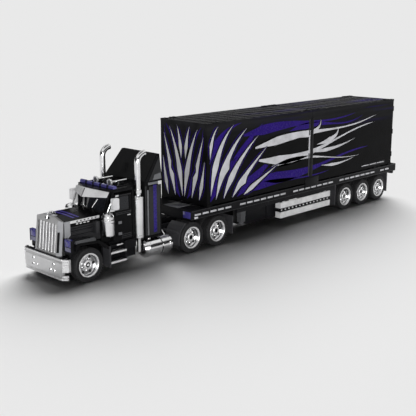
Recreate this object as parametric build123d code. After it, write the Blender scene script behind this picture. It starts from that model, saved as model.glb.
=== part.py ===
from build123d import *
import os
from math import cos, radians, sin

# A construction-set model of a long-nose tractor with a three-axle semi-trailer and two load boxes.
# Millimetres. +X points forward, +Y to the driver's left, +Z up, and the ground is z = 0.

# Fits
RUNNING_FIT = 0.05        # radial, shaft in bore
SEAT_GAP = 0.1            # radial, tyre on rim
TURN_GAP = 0.3            # between flat faces that turn on each other
DOOR_GAP = 0.5            # round a door leaf
PANEL_GAP = 0.2           # between panels of one box

# Wheels
TYRE_RADIUS = 31.2
TYRE_WIDTH = 19.5
TYRE_SHOULDER = 2.4
TWIN_GAP = 2.0
RIM_RADIUS = 22.6
RIM_WALL = 2.0
RIM_LIP = 1.0             # rim set in from the tyre's faces
HUB_RADIUS = 8.0
HUB_CAP = 2.3             # outer wall of a hub, over the shaft's end
DISC = 3.0                # thickness of a wheel's disc
WHEEL_DISH = 9.0          # a wheel's disc set in from its lip
HUB_RECESS = 3.5          # hub's face set in from the lip
HAND_HOLE_CIRCLE = 15.4
FRONT_HAND_HOLES = (6, 3.0)   # count, radius
TWIN_HAND_HOLES = (8, 2.6)
SHAFT_RADIUS = 4.0
TRACK_HALF = 66.0         # centre plane to the outer face of the wheels
AXLE_Z = TYRE_RADIUS

# Lengthwise places, chained from the kingpin
KINGPIN_X = 181.5
DRIVE_SPACING = 72.0
WHEELBASE = 288.0         # kingpin to front axle
FRONT_OVERHANG = 51.0
FIREWALL_SETBACK = 46.0   # front axle back to the firewall's front face
COWL_LENGTH = 20.5        # firewall back to the door posts
DOOR_LENGTH = 40.0
CAB_POST = 6.0            # door's rear edge back to the cab's rear face
NECK_LENGTH = 21.5        # cab to sleeper
SLEEPER_LENGTH = 40.5
FRONT_AXLE_X = KINGPIN_X + WHEELBASE
BUMPER_X = FRONT_AXLE_X + FRONT_OVERHANG
FIREWALL_X = FRONT_AXLE_X - FIREWALL_SETBACK
DOOR_POST = 3.0
DOOR_FRONT_X = FIREWALL_X - COWL_LENGTH - DOOR_POST - DOOR_GAP
DOOR_REAR_X = DOOR_FRONT_X - DOOR_LENGTH
CAB_REAR_X = DOOR_REAR_X - CAB_POST
SLEEPER_FRONT_X = CAB_REAR_X - NECK_LENGTH
SLEEPER_REAR_X = SLEEPER_FRONT_X - SLEEPER_LENGTH
DRIVE_AXLES_X = (KINGPIN_X + DRIVE_SPACING / 2, KINGPIN_X - DRIVE_SPACING / 2)

# Tractor frame
RAIL_INNER = 14.0
RAIL_WIDTH = 6.0
RAIL_OUTER = RAIL_INNER + RAIL_WIDTH
RAIL_BOTTOM = 40.0
RAIL_HEIGHT = 16.0
RAIL_TOP = RAIL_BOTTOM + RAIL_HEIGHT
RAIL_REAR_OVERHANG = 48.0
CROSS_WIDTH = 8.0
CROSS_HEIGHT = 8.0
HANGER_LENGTH = 14.0
HANGER_DROP = 7.5         # hanger below the axle's centre

# Steering
KINGPIN_Y = 40.0          # steering axis from the centre plane
STEER_PIN_RADIUS = 2.5
STEER_EYE_RADIUS = 5.5
STEER_EYE_HEIGHT = 12.0
STEER_EAR = 3.6
STEER_ARM = 24.0          # steering axis back to the tie rod's pin
ARM_WIDTH = 6.4
TIE_PIN_RADIUS = 1.8
TIE_EYE_RADIUS = 3.6
TIE_EYE_HEIGHT = 4.0
TIE_ROD_RADIUS = 1.7
BEAM_DEPTH = 8.0
BEAM_HEIGHT = 8.0
EAR_LOW_TOP = AXLE_Z - STEER_EYE_HEIGHT / 2 - TURN_GAP
EAR_HIGH_BOTTOM = AXLE_Z + STEER_EYE_HEIGHT / 2 + TURN_GAP

# Fifth wheel and kingpin
FIFTH_TOP = 65.7
FIFTH_PLATE = 4.5
FIFTH_LENGTH = 64.0
FIFTH_HALF_WIDTH = 22.0
TRAILER_PIN_RADIUS = 4.8
TRAILER_PIN_LENGTH = 8.5
THROAT_PINCH = 1.0        # throat narrower than the pin, each side

# Nose
BUMPER_HALF = 56.5
BUMPER_RETURN_Y = 65.5
BUMPER_RETURN = 8.0
BUMPER_BOTTOM = 12.0
BUMPER_TOP = 50.0
BUMPER_WALL = 4.0
BUMPER_CORNER = 8.0
BUMPER_SHELF = 11.0
BUMPER_GROOVE = 0.6
BUMPER_GROOVES_Z = (15.0, 17.5, 43.0, 45.5)
BUMPER_NOTCH_Z = (21.0, 27.0)
BUMPER_SOCKET = 2.4       # radius of a pin socket in the bumper's face
BUMPER_SOCKETS = [(30.5, 37.0), (32.0, 25.6), (21.0, 26.0)]   # y, z
HOUSING_HALF = 40.0
HOUSING_BOTTOM = 66.0
HOUSING_KEEL_HALF = 24.0
HOUSING_SEAM = 1.0
HOUSING_SEAMS_Z = (79.0, 88.0)
HOOD_BOTTOM = 98.0
HOOD_EDGE_Z = 110.0
HOOD_CROWN = 7.0
HOOD_HALF = 39.0
HOOD_FLAT_HALF = 15.0
HOOD_BELT = 0.8           # side strip proud of the hood
HOOD_BELT_Z = 104.0
GRILLE_HALF = 31.0
GRILLE_DEPTH = 14.0
GRILLE_BOTTOM = BUMPER_TOP
GRILLE_TOP = HOOD_EDGE_Z + HOOD_CROWN
GRILLE_SETBACK = 6.0      # behind the bumper's face
GRILLE_RAKE = 7.5         # grille's top behind its foot
GRILLE_CHEEK = 6.5        # depth of the chamfer at the grille's sides
GRILLE_BORDER = 4.0
GRILLE_FIELD = (54.0, 105.0)
GRILLE_POCKET = 3.2
GRILLE_BARS = 6
GRILLE_BAR = 3.1          # radius of a half-round bar
GRILLE_BACK_X = BUMPER_X - GRILLE_SETBACK - GRILLE_DEPTH
FENDER_OUTER = 66.0
FENDER_TOP = 75.0
FENDER_WALL = 5.0
FENDER_FRONT = 28.0       # front axle to the fender's front face
FENDER_FOOT = 62.0        # lower end of the fender's front drop
FENDER_REAR = 45.0        # front axle back to the fender's rear end
FENDER_SLOPE = 23.0       # length and drop of the fender's rear slope
LAMP_INNER = 43.0
LAMP_OUTER = 62.0
LAMP_DEPTH = 7.0
LAMP_BOTTOM = 59.0
LAMP_TOP = 81.0
AIR_CLEANER_Y = 55.0
AIR_CLEANER_RADIUS = 11.3
AIR_CLEANER_SETBACK = 6.0
AIR_CLEANER_BOTTOM = 72.0
AIR_CLEANER_TOP = 112.0
AIR_CAP = 4.0
AIR_EDGE = 2.0            # bevel round the canister's ends
AIR_BAND = 0.7            # clamp band proud of the canister
AIR_BAND_Z = (98.0, 102.0)

# Cab
CAB_FLOOR = 3.0
CAB_HALF = 52.0
COWL_HALF = 41.0
CAB_WALL = 4.0
COWL_TOP = 113.0
ROOF_BOTTOM = 148.0
ROOF_TOP = 153.0
ROOF_HALF = 50.0
ROOF_PEAK = 19.0          # how far the roof's centre stands forward of its corners
SCREEN_RAKE = 12.0        # windscreen's lean over its height
SCREEN_SWEEP = 9.0        # pillars behind the centre of the windscreen's foot
SCREEN_PEAK = 3.0         # and the ridge ahead of it
SCREEN_GLASS = 2.0
PILLAR_WIDTH = 4.0
DOOR_BOTTOM = 57.0
DOOR_TOP = 143.0
DOOR_WALL = 4.0
WINDOW_BOTTOM = 112.0
WINDOW_BORDER = 5.0
WINDOW_GLASS = 1.6
DOOR_PIN_RADIUS = 1.0
DOOR_HINGES_Z = (70.0, 91.0)
HINGE_HEIGHT = 6.0
HINGE_NOTCH = 0.6         # door cut back behind a hinge lug
MIRROR_Y = 58.0
MIRROR_SIZE = (14.0, 7.0, 21.0)
MIRROR_SETBACK = 1.0      # mirror's rear edge behind the door's front edge
MIRROR_BOTTOM = 119.0
VISOR_DROP = 15.0
VISOR_REACH = 9.0
VISOR_FALL = 4.0          # visor's top edge, lower at its ends
VISOR_RISE = 2.0          # visor's bottom edge, higher at its ends
VISOR_HALF = 47.0
VISOR_WALL = 2.5
ROOF_LAMP_PITCH = 21.0
ROOF_LAMP_RADIUS = 4.0
ROOF_LAMP_LENGTH = 14.0
ROOF_LAMP_SETBACK = 7.5   # lamps behind the roof's front corners
HORN_SETBACK = 18.0
HORN_Y = 20.5
HORN_LENGTH = 40.0
HORN_BELL_RADIUS = 6.5
HORN_PIPE_RADIUS = 2.2
SEAT_WIDTH = 26.0
SEAT_DEPTH = 24.0
SEAT_HEIGHT = 24.0
SEAT_DIP = 2.0            # seat's rear edge below its front edge
SEAT_BACK = 7.0
SEAT_Y = 20.0
DASH_DEPTH = 12.0
DASH_TOP = 104.0
DASH_HEIGHT = 18.0
WHEEL_RING = 11.0
WHEEL_SECTION = 1.4
WHEEL_TILT = 60.0
CAB_FLOOR_TOP = RAIL_TOP + CAB_FLOOR
SCREEN_X = FIREWALL_X - CAB_WALL / 2
PILLAR_X = SCREEN_X - SCREEN_SWEEP
ROOF_CORNER_X = SCREEN_X - ROOF_PEAK
HINGE_X = DOOR_FRONT_X - DOOR_WALL / 2
HINGE_Y = CAB_HALF - DOOR_WALL / 2

# Sleeper, stacks, tanks and steps
SLEEPER_HALF = 58.0
SLEEPER_BOTTOM = 50.0
SLEEPER_TOP = 156.0
SLEEPER_ARCH = 3.0        # clearance over the drive wheel's arc guard
NECK_HALF = 38.0
FAIRING_TOP = 205.0
FAIRING_TOP_HALF = 50.7
FAIRING_TOP_LENGTH = 6.0
FAIRING_WALL = 3.0
STACK_Y = 51.0
STACK_MUFFLER_RADIUS = 10.0
STACK_MUFFLER = (52.0, 135.0)
STACK_TAPER = 3.0
STACK_RING = 1.5          # clamp ring proud of the pipe
STACK_RING_Z = (139.0, 145.0)
STACK_PIPE_RADIUS = 5.6
STACK_FOOT_RADIUS = 4.0
STACK_FOOT_Z = 26.0
STACK_BEND_Z = 194.0
STACK_BEND_RADIUS = 17.0
STACK_BEND_ANGLE = 90.0
TANK_Y = 48.0
TANK_Z = 28.5
TANK_RADIUS = 17.3
TANK_CLEARANCE = 9.5      # tank's rear end to the arc guard
TANK_DOME = 5.0
TANK_SEAM = 2.4           # width and depth of the groove between the tank's two sections
TANK_SEAM_AT = 0.43       # groove's place along the tank, from its rear
STEP_LENGTH = 37.0
STEP_OUTER = 60.0
STEP_INNER = 44.0
STEP_TREADS_Z = (20.0, 38.0)
STEP_THICKNESS = 3.0
STEP_CLEARANCE = 4.5      # steps behind the front flap
FLAP_THICKNESS = 3.0
FLAP_BOTTOM = 16.0
FLAP_INSET = 2.0          # flap in from the wheel's outer face
FLAP_ARM = 6.0            # height of the arm that carries a flap
FLAP_STAND = 8.0          # flap's inner edge out from the rail or tyre
ARC_GUARD_RADIUS = 35.0
ARC_GUARD_WALL = 2.5
ARC_GUARD_SPAN = (-15.0, 60.0)
ARC_GUARD_STEPS = 6
ARC_STAY_ANGLE = 24.0

# Trailer
KINGPIN_SETBACK = 4.0     # box front behind the kingpin
NOSE_LENGTH = 43.5        # deck ahead of the boxes
TAIL_LENGTH = 26.0        # deck behind the boxes
TRAILER_BOTTOM = FIFTH_TOP + TURN_GAP
DECK_TOP = 84.0
DECK_PLATE = 3.0
TRAILER_RAIL_DROP = 58.0  # bottom of the main beams behind the swan neck
SWAN_NECK = 94.0          # kingpin back to where the beams deepen
SIDE_RAIL_WIDTH = 6.0
TRAILER_HALF = 66.0
TRAILER_CROSS_PITCH = 96.0
TRAILER_AXLE_SPACING = 72.0
TRAILER_LAST_AXLE = 50.0  # last axle ahead of the boxes' rear
BOGIE_BOTTOM = 46.0
BOGIE_OVERHANG = 20.0
LEG_SETBACK = 124.0
LEG_Y = 50.0
LEG_SIZE = 13.0
LEG_BOTTOM = 25.0
LEG_WALL = 1.5            # inner leg in from the outer one
LEG_FOOT = 2.0
LEG_BRACKET = 6.0
LEG_CLEARANCE = 3.5       # first cross member behind the legs
SKIRT_CLEARANCE = 18.0    # skirt's rear end to the first trailer tyre
GUARD_START = 236.0
GUARD_CLEARANCE = 32.8    # guard's rear end to the first trailer tyre
GUARD_RAILS_Z = (21.0, 43.0)
GUARD_RAIL_HEIGHT = 13.0
GUARD_WALL = 3.0
TAIL_BORE_RADIUS = 2.45
TAIL_BEAM = 8.0

# Load boxes
BOX_LENGTH = 336.0
BOX_WIDTH = 133.3
BOX_BOTTOM = 88.0
BOX_HEIGHT = 163.2
BOX_WALL = 3.0
BOX_FLOOR = 4.0
BOX_REBATE = 1.0          # step in the floor's edge that the walls stand in
BOX_GAP = 1.0
CASTING = (13.0, 9.0, 9.0)
CASTING_PROUD = 0.7
DOOR_LEAF = 4.0
BOX_HINGES_Z = (112.0, 170.0, 228.0)
KNUCKLE_RADIUS = 1.7
KNUCKLE_HEIGHT = 6.0
KNUCKLE_SETBACK = 2.0     # hinge axis behind the box's rear face
KNUCKLE_PIN = 0.9
STRAP_LENGTH = 12.0
STRAP_HALF = 0.8          # half the strap's thickness

BOX_FRONT_X = KINGPIN_X - KINGPIN_SETBACK
BOX_REAR_X = BOX_FRONT_X - 2 * BOX_LENGTH
BOX_HALF = BOX_WIDTH / 2
BOX_TOP = BOX_BOTTOM + BOX_HEIGHT
NOSE_X = BOX_FRONT_X + NOSE_LENGTH
TAIL_X = BOX_REAR_X - TAIL_LENGTH
SWAN_NECK_X = KINGPIN_X - SWAN_NECK
TRAILER_AXLES_X = [BOX_REAR_X + TRAILER_LAST_AXLE + i * TRAILER_AXLE_SPACING for i in (2, 1, 0)]
BOX_FLOOR_TOP = BOX_BOTTOM + BOX_FLOOR
BOX_WALL_BOTTOM = BOX_FLOOR_TOP - BOX_REBATE
BOX_ROOF_BOTTOM = BOX_TOP - BOX_FLOOR
# Columns: front end, rear end, room for the wall or doors at the rear end
BOX_SPANS = [
    (BOX_FRONT_X, BOX_FRONT_X - BOX_LENGTH + BOX_GAP / 2, BOX_WALL + PANEL_GAP),
    (BOX_FRONT_X - BOX_LENGTH - BOX_GAP / 2, BOX_REAR_X, DOOR_LEAF + DOOR_GAP),
]
BOX_HINGE_X = BOX_REAR_X - KNUCKLE_SETBACK
BOX_HINGE_Y = BOX_HALF - BOX_WALL / 2
SHAFT_BORE = SHAFT_RADIUS + RUNNING_FIT
WHEEL_INNER_Y = TRACK_HALF - TYRE_WIDTH
TWIN_INNER_Y = TRACK_HALF - 2 * TYRE_WIDTH - TWIN_GAP


# Shapes

def block(x, y, z):
    """A box between the two ends given along each axis."""
    size = [abs(pair[1] - pair[0]) for pair in (x, y, z)]
    centre = [(pair[0] + pair[1]) / 2 for pair in (x, y, z)]
    return Pos(*centre) * Box(*size)


def rod_x(x, y, z, radius):
    return Pos((x[0] + x[1]) / 2, y, z) * Rot(0, 90, 0) * Cylinder(radius, abs(x[1] - x[0]))


def rod_y(x, y, z, radius):
    return Pos(x, (y[0] + y[1]) / 2, z) * Rot(90, 0, 0) * Cylinder(radius, abs(y[1] - y[0]))


def rod_z(x, y, z, radius):
    return Pos(x, y, (z[0] + z[1]) / 2) * Cylinder(radius, abs(z[1] - z[0]))


def side_profile(points, y):
    """A profile of (x, z) points, drawn from the side and carried between two y values."""
    face = Plane.XZ * Polygon(*points, align=None)
    return Pos(0, min(y), 0) * extrude(face, amount=abs(y[1] - y[0]), dir=(0, 1, 0))


def plan_profile(points, z, lean=0.0):
    """A profile of (x, y) points, drawn from above, carried between two z values; lean moves its top in x."""
    rise = z[1] - z[0]
    path = Vector(lean, 0, rise)
    face = Pos(0, 0, z[0]) * Polygon(*points, align=None)
    return extrude(face, amount=path.length, dir=path.normalized())


def front_profile(points, x):
    """A profile of (y, z) points, drawn from the front and carried between two x values."""
    face = Plane.YZ * Polygon(*points, align=None)
    return Pos(min(x), 0, 0) * extrude(face, amount=abs(x[1] - x[0]), dir=(1, 0, 0))


def turned_y(points):
    """A (radius, y) outline turned about the Y axis."""
    return revolve(Polygon(*points, align=None), axis=Axis.Y)


def turned_z(points):
    """A (radius, z) outline turned about the Z axis."""
    return revolve(Plane.XZ * Polygon(*points, align=None), axis=Axis.Z)


def turned_x(points):
    """An (x, radius) outline turned about the X axis."""
    return revolve(Polygon(*points, align=None), axis=Axis.X)


def mirrored(part):
    return mirror(part, about=Plane.XZ)


def both_sides(part):
    return part + mirrored(part)


# Wheels

def tyre(inner_y):
    """One tyre whose inner face is at inner_y, centred on the Y axis."""
    bore = RIM_RADIUS + SEAT_GAP
    wall = (bore + TYRE_RADIUS) / 2
    outer_y = inner_y + TYRE_WIDTH
    return turned_y([
        (bore, inner_y + TYRE_SHOULDER / 2),
        (wall, inner_y),
        (TYRE_RADIUS - TYRE_SHOULDER / 2, inner_y + TYRE_SHOULDER / 2),
        (TYRE_RADIUS, inner_y + TYRE_SHOULDER),
        (TYRE_RADIUS, outer_y - TYRE_SHOULDER),
        (TYRE_RADIUS - TYRE_SHOULDER / 2, outer_y - TYRE_SHOULDER / 2),
        (wall, outer_y),
        (bore, outer_y - TYRE_SHOULDER / 2),
    ])


def hand_holes(holes, face):
    """The ring of round windows in a wheel's disc, whose outer face is at y = face."""
    count, radius = holes
    window = rod_y(HAND_HOLE_CIRCLE, (face - 2 * DISC, face + DISC), 0, radius)
    return [Rot(0, 360 * i / count, 0) * window for i in range(count)]


def front_rim():
    """A steered wheel's rim, with a blind bore for the stub axle."""
    lip = TRACK_HALF - RIM_LIP
    inner = WHEEL_INNER_Y + RIM_LIP
    face = lip - WHEEL_DISH
    well = RIM_RADIUS - RIM_WALL
    hub = lip - HUB_RECESS
    bore_end = hub - HUB_CAP
    rim = turned_y([
        (RIM_RADIUS, inner), (RIM_RADIUS, lip), (RIM_RADIUS - RIM_WALL / 2, lip),
        (well, face), (HUB_RADIUS + RIM_WALL, face + DISC / 2), (HUB_RADIUS, hub), (0, hub),
        (0, bore_end), (SHAFT_BORE, bore_end), (SHAFT_BORE, inner + DISC), (HUB_RADIUS, inner + DISC),
        (HUB_RADIUS + RIM_WALL, face - DISC), (well, face - DISC), (well, inner),
    ])
    return rim - hand_holes(FRONT_HAND_HOLES, face)


def twin_rim():
    """Both rims of a twin wheel on one side, with the outer disc and a hub bored for the shaft."""
    lip = TRACK_HALF - RIM_LIP
    inner = TWIN_INNER_Y + RIM_LIP
    face = lip - WHEEL_DISH
    well = RIM_RADIUS - RIM_WALL
    hub = lip - HUB_RECESS
    bore_end = hub - HUB_CAP
    rim = turned_y([
        (RIM_RADIUS, inner), (RIM_RADIUS, lip), (RIM_RADIUS - RIM_WALL / 2, lip),
        (well, face), (HUB_RADIUS + RIM_WALL, face + DISC / 2), (HUB_RADIUS, hub), (0, hub),
        (0, bore_end), (SHAFT_BORE, bore_end), (SHAFT_BORE, face - DISC), (well, face - DISC), (well, inner),
    ])
    return rim - hand_holes(TWIN_HAND_HOLES, face)


def twin_axle(x):
    """A shaft with a pair of rims pushed on each end."""
    half = TRACK_HALF - RIM_LIP - HUB_RECESS - HUB_CAP - TURN_GAP
    shaft = rod_y(0, (-half, half), 0, SHAFT_RADIUS)
    rim = twin_rim()
    return Pos(x, 0, AXLE_Z) * Compound([shaft.solid(), rim.solid(), mirrored(rim).solid()])


def twin_tyres(x):
    outer = TRACK_HALF - TYRE_WIDTH
    pair = Compound([tyre(TWIN_INNER_Y), tyre(outer)])
    return Pos(x, 0, AXLE_Z) * Compound([*pair.solids(), *mirrored(pair).solids()])


# Tractor frame and steering

def hangers(axles_x, top):
    """A pair of bearing blocks under the rails for each axle."""
    blocks = []
    for x in axles_x:
        body = block((x - HANGER_LENGTH / 2, x + HANGER_LENGTH / 2), (RAIL_INNER, RAIL_OUTER),
                     (AXLE_Z - HANGER_DROP, top))
        bore = rod_y(x, (RAIL_INNER, RAIL_OUTER), AXLE_Z, SHAFT_BORE)
        blocks.append(both_sides(body - bore))
    return blocks


def tractor_frame():
    rear = DRIVE_AXLES_X[1] - RAIL_REAR_OVERHANG
    front = GRILLE_BACK_X
    frame = both_sides(block((rear, front), (RAIL_INNER, RAIL_OUTER), (RAIL_BOTTOM, RAIL_TOP)))
    cross_z = (RAIL_BOTTOM, RAIL_BOTTOM + CROSS_HEIGHT)
    for x in (rear + CROSS_WIDTH, KINGPIN_X, DRIVE_AXLES_X[0] + HANGER_LENGTH * 2, SLEEPER_FRONT_X,
              DOOR_FRONT_X, FRONT_AXLE_X, front - CROSS_WIDTH):
        frame += block((x - CROSS_WIDTH / 2, x + CROSS_WIDTH / 2), (-RAIL_INNER, RAIL_INNER), cross_z)
    for hanger in hangers(DRIVE_AXLES_X, RAIL_BOTTOM):
        frame += hanger
    return frame


def front_axle():
    """The steered axle's beam, with a vertical eye at each end and a pad under each rail."""
    x = (FRONT_AXLE_X - BEAM_DEPTH / 2, FRONT_AXLE_X + BEAM_DEPTH / 2)
    eye_z = (AXLE_Z - STEER_EYE_HEIGHT / 2, AXLE_Z + STEER_EYE_HEIGHT / 2)
    beam = block(x, (-KINGPIN_Y, KINGPIN_Y), (AXLE_Z - BEAM_HEIGHT / 2, AXLE_Z + BEAM_HEIGHT / 2))
    pad = block((x[0] - BEAM_DEPTH, x[1] + BEAM_DEPTH), (RAIL_INNER, RAIL_OUTER), (AXLE_Z, RAIL_BOTTOM))
    eye = rod_z(FRONT_AXLE_X, KINGPIN_Y, eye_z, STEER_EYE_RADIUS)
    bore = rod_z(FRONT_AXLE_X, KINGPIN_Y, eye_z, STEER_PIN_RADIUS + RUNNING_FIT)
    return beam + both_sides(pad) + both_sides(eye) - both_sides(bore)


def knuckle():
    """The left knuckle: two ears round the beam's eye, the pin, the stub axle and the steering arm."""
    low = (EAR_LOW_TOP - STEER_EAR, EAR_LOW_TOP)
    high = (EAR_HIGH_BOTTOM, EAR_HIGH_BOTTOM + STEER_EAR)
    back_y = (KINGPIN_Y + STEER_EYE_RADIUS + 2 * TURN_GAP, WHEEL_INNER_Y + 2 * RIM_LIP)
    width = (FRONT_AXLE_X - STEER_EYE_RADIUS, FRONT_AXLE_X + STEER_EYE_RADIUS)
    part = rod_z(FRONT_AXLE_X, KINGPIN_Y, (low[0], high[1]), STEER_PIN_RADIUS)
    for z in (low, high):
        part += rod_z(FRONT_AXLE_X, KINGPIN_Y, z, STEER_EYE_RADIUS)
        part += block(width, (KINGPIN_Y, back_y[1]), z)
    part += block(width, back_y, (low[0], high[1]))
    stub_end = TRACK_HALF - RIM_LIP - HUB_RECESS - HUB_CAP - TURN_GAP
    part += rod_y(FRONT_AXLE_X, (back_y[0], stub_end), AXLE_Z, SHAFT_RADIUS)
    arm_x = FRONT_AXLE_X - STEER_ARM
    part += block((arm_x, FRONT_AXLE_X), (KINGPIN_Y - ARM_WIDTH / 2, KINGPIN_Y + ARM_WIDTH / 2), low)
    part += rod_z(arm_x, KINGPIN_Y, low, ARM_WIDTH / 2)
    part += rod_z(arm_x, KINGPIN_Y, (low[0], low[1] + TURN_GAP + TIE_EYE_HEIGHT), TIE_PIN_RADIUS)
    return part


def tie_rod():
    """The bar between the two steering arms, with an eye over each arm's pin."""
    x = FRONT_AXLE_X - STEER_ARM
    z = (EAR_LOW_TOP + TURN_GAP, EAR_LOW_TOP + TURN_GAP + TIE_EYE_HEIGHT)
    eye = rod_z(x, KINGPIN_Y, z, TIE_EYE_RADIUS)
    bar = rod_y(x, (-KINGPIN_Y, KINGPIN_Y), sum(z) / 2, TIE_ROD_RADIUS)
    bore = rod_z(x, KINGPIN_Y, z, TIE_PIN_RADIUS + RUNNING_FIT)
    return bar + both_sides(eye) - both_sides(bore)


def fifth_wheel():
    """The coupling plate, open behind the kingpin, on its pedestal across the rails."""
    plate_z = (FIFTH_TOP - FIFTH_PLATE, FIFTH_TOP)
    half = FIFTH_LENGTH / 2
    plate = block((KINGPIN_X - half, KINGPIN_X + half), (-FIFTH_HALF_WIDTH, FIFTH_HALF_WIDTH), plate_z)
    plate = fillet(plate.edges().filter_by(Axis.Z), FIFTH_HALF_WIDTH / 2)
    pedestal = block((KINGPIN_X - half / 2, KINGPIN_X + half / 2), (RAIL_INNER, RAIL_OUTER),
                     (RAIL_TOP, plate_z[0]))
    bore = rod_z(KINGPIN_X, 0, plate_z, TRAILER_PIN_RADIUS + RUNNING_FIT)
    mouth = (TRAILER_PIN_RADIUS - THROAT_PINCH, FIFTH_HALF_WIDTH / 2)
    slot = plan_profile([(KINGPIN_X - TRAILER_PIN_RADIUS, mouth[0]), (KINGPIN_X - half, mouth[1]),
                         (KINGPIN_X - half, -mouth[1]), (KINGPIN_X - TRAILER_PIN_RADIUS, -mouth[0])], plate_z)
    return plate + both_sides(pedestal) - bore - slot


# Nose

def bumper():
    """A bent plate, grooved and socketed, with notched ends, a shelf on top and two brackets from the rails."""
    outline = [(BUMPER_X, BUMPER_HALF), (BUMPER_X - BUMPER_RETURN, BUMPER_RETURN_Y),
               (BUMPER_X - BUMPER_RETURN - BUMPER_WALL, BUMPER_RETURN_Y)]
    inside = [(BUMPER_X - BUMPER_RETURN - BUMPER_WALL, BUMPER_RETURN_Y - BUMPER_WALL),
              (BUMPER_X - BUMPER_RETURN, BUMPER_RETURN_Y - BUMPER_WALL),
              (BUMPER_X - BUMPER_WALL, BUMPER_HALF - BUMPER_WALL / 2)]
    half = outline + inside
    whole = half + [(x, -y) for x, y in reversed(half)]
    plate = plan_profile(whole, (BUMPER_BOTTOM, BUMPER_TOP))
    for z in BUMPER_GROOVES_Z:
        plate -= rod_y(BUMPER_X, (-BUMPER_HALF, BUMPER_HALF), z, BUMPER_GROOVE)
    for y, z in BUMPER_SOCKETS:
        plate -= both_sides(rod_x((BUMPER_X - BUMPER_WALL / 2, BUMPER_X), y, z, BUMPER_SOCKET))
    plate -= both_sides(block((BUMPER_X - 2 * BUMPER_RETURN, BUMPER_X), (BUMPER_HALF, BUMPER_RETURN_Y),
                              BUMPER_NOTCH_Z))
    corner = front_profile([(BUMPER_HALF - BUMPER_CORNER, BUMPER_BOTTOM), (BUMPER_RETURN_Y, BUMPER_BOTTOM),
                            (BUMPER_RETURN_Y, BUMPER_BOTTOM + 2 * BUMPER_CORNER)],
                           (BUMPER_X - 2 * BUMPER_RETURN, BUMPER_X))
    shelf = plan_profile([(BUMPER_X - BUMPER_WALL / 2, BUMPER_HALF - BUMPER_WALL / 2),
                          (BUMPER_X - BUMPER_SHELF, BUMPER_HALF), (BUMPER_X - BUMPER_SHELF, -BUMPER_HALF),
                          (BUMPER_X - BUMPER_WALL / 2, BUMPER_WALL / 2 - BUMPER_HALF)],
                         (BUMPER_TOP - BUMPER_WALL, BUMPER_TOP))
    bracket = block((GRILLE_BACK_X, BUMPER_X - BUMPER_WALL / 2), (RAIL_INNER, RAIL_OUTER),
                    (RAIL_BOTTOM, BUMPER_TOP - BUMPER_WALL / 2))
    return plate - both_sides(corner) + shelf + both_sides(bracket)


def grille():
    """A radiator shell that leans back, with chamfered cheeks, a gabled cap and half-round bars."""
    face = BUMPER_X - GRILLE_SETBACK
    half = [(GRILLE_BACK_X, HOOD_HALF), (face - GRILLE_CHEEK, HOOD_HALF), (face, GRILLE_HALF)]
    shell = plan_profile(half + [(x, -y) for x, y in reversed(half)], (GRILLE_BOTTOM, GRILLE_TOP),
                         lean=-GRILLE_RAKE)
    gable = [(HOOD_HALF, GRILLE_BOTTOM), (HOOD_HALF, HOOD_EDGE_Z), (HOOD_FLAT_HALF, GRILLE_TOP)]
    shell &= front_profile(gable + [(-y, z) for y, z in reversed(gable)], (GRILLE_BACK_X, face))
    slope = GRILLE_RAKE / (GRILLE_TOP - GRILLE_BOTTOM)
    low, high = GRILLE_FIELD
    floor = face - slope * (low - GRILLE_BOTTOM) - GRILLE_POCKET
    lean = -slope * (high - low)
    field_half = GRILLE_HALF - GRILLE_BORDER
    mouth = floor + GRILLE_DEPTH
    pocket = plan_profile([(floor, field_half), (mouth, field_half), (mouth, -field_half),
                           (floor, -field_half)], GRILLE_FIELD, lean)
    shell -= pocket
    path = Vector(lean, 0, high - low)
    pitch = 2 * field_half / GRILLE_BARS
    for i in range(GRILLE_BARS):
        foot = Pos(floor, (i + 0.5) * pitch - field_half, low) * Circle(GRILLE_BAR)
        shell += extrude(foot, amount=path.length, dir=path.normalized()) & pocket
    return shell


def engine_housing():
    """The closed block under the hood, narrow between the front wheels, wider and seamed above them."""
    x = (FIREWALL_X, GRILLE_BACK_X)
    upper = block(x, (-HOUSING_HALF, HOUSING_HALF), (HOUSING_BOTTOM, HOOD_BOTTOM))
    keel = block(x, (-HOUSING_KEEL_HALF, HOUSING_KEEL_HALF), (RAIL_TOP, HOUSING_BOTTOM))
    for z in HOUSING_SEAMS_Z:
        upper -= both_sides(block(x, (HOUSING_HALF - HOUSING_SEAM, HOUSING_HALF), (z, z + HOUSING_SEAM)))
    return upper + keel


def hood():
    """The bonnet: upright sides with a belt, and a top that slopes up to a flat centre panel."""
    belt = HOOD_HALF + HOOD_BELT
    half = [(HOOD_HALF, HOOD_BOTTOM), (HOOD_HALF, HOOD_BELT_Z), (belt, HOOD_BELT_Z), (belt, HOOD_EDGE_Z),
            (HOOD_FLAT_HALF, GRILLE_TOP)]
    outline = half + [(-y, z) for y, z in reversed(half)]
    return front_profile(outline, (FIREWALL_X, GRILLE_BACK_X))


def fender():
    """The left wheel arch: a flat top, a rear slope and a front drop."""
    rear = FRONT_AXLE_X - FENDER_REAR
    front = FRONT_AXLE_X + FENDER_FRONT
    outline = [
        (rear, FENDER_TOP - FENDER_SLOPE + FENDER_WALL), (rear + FENDER_SLOPE, FENDER_TOP - FENDER_WALL / 2),
        (front - FENDER_WALL, FENDER_TOP), (front, FENDER_TOP - FENDER_WALL), (front, FENDER_FOOT),
        (front - FENDER_WALL / 2, FENDER_FOOT), (front - 2 * FENDER_WALL, FENDER_TOP - FENDER_WALL),
        (rear + FENDER_SLOPE + FENDER_WALL / 2, FENDER_TOP - 1.5 * FENDER_WALL),
        (rear, FENDER_TOP - FENDER_SLOPE - FENDER_WALL / 4),
    ]
    return side_profile(outline, (HOUSING_HALF, FENDER_OUTER))


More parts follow.
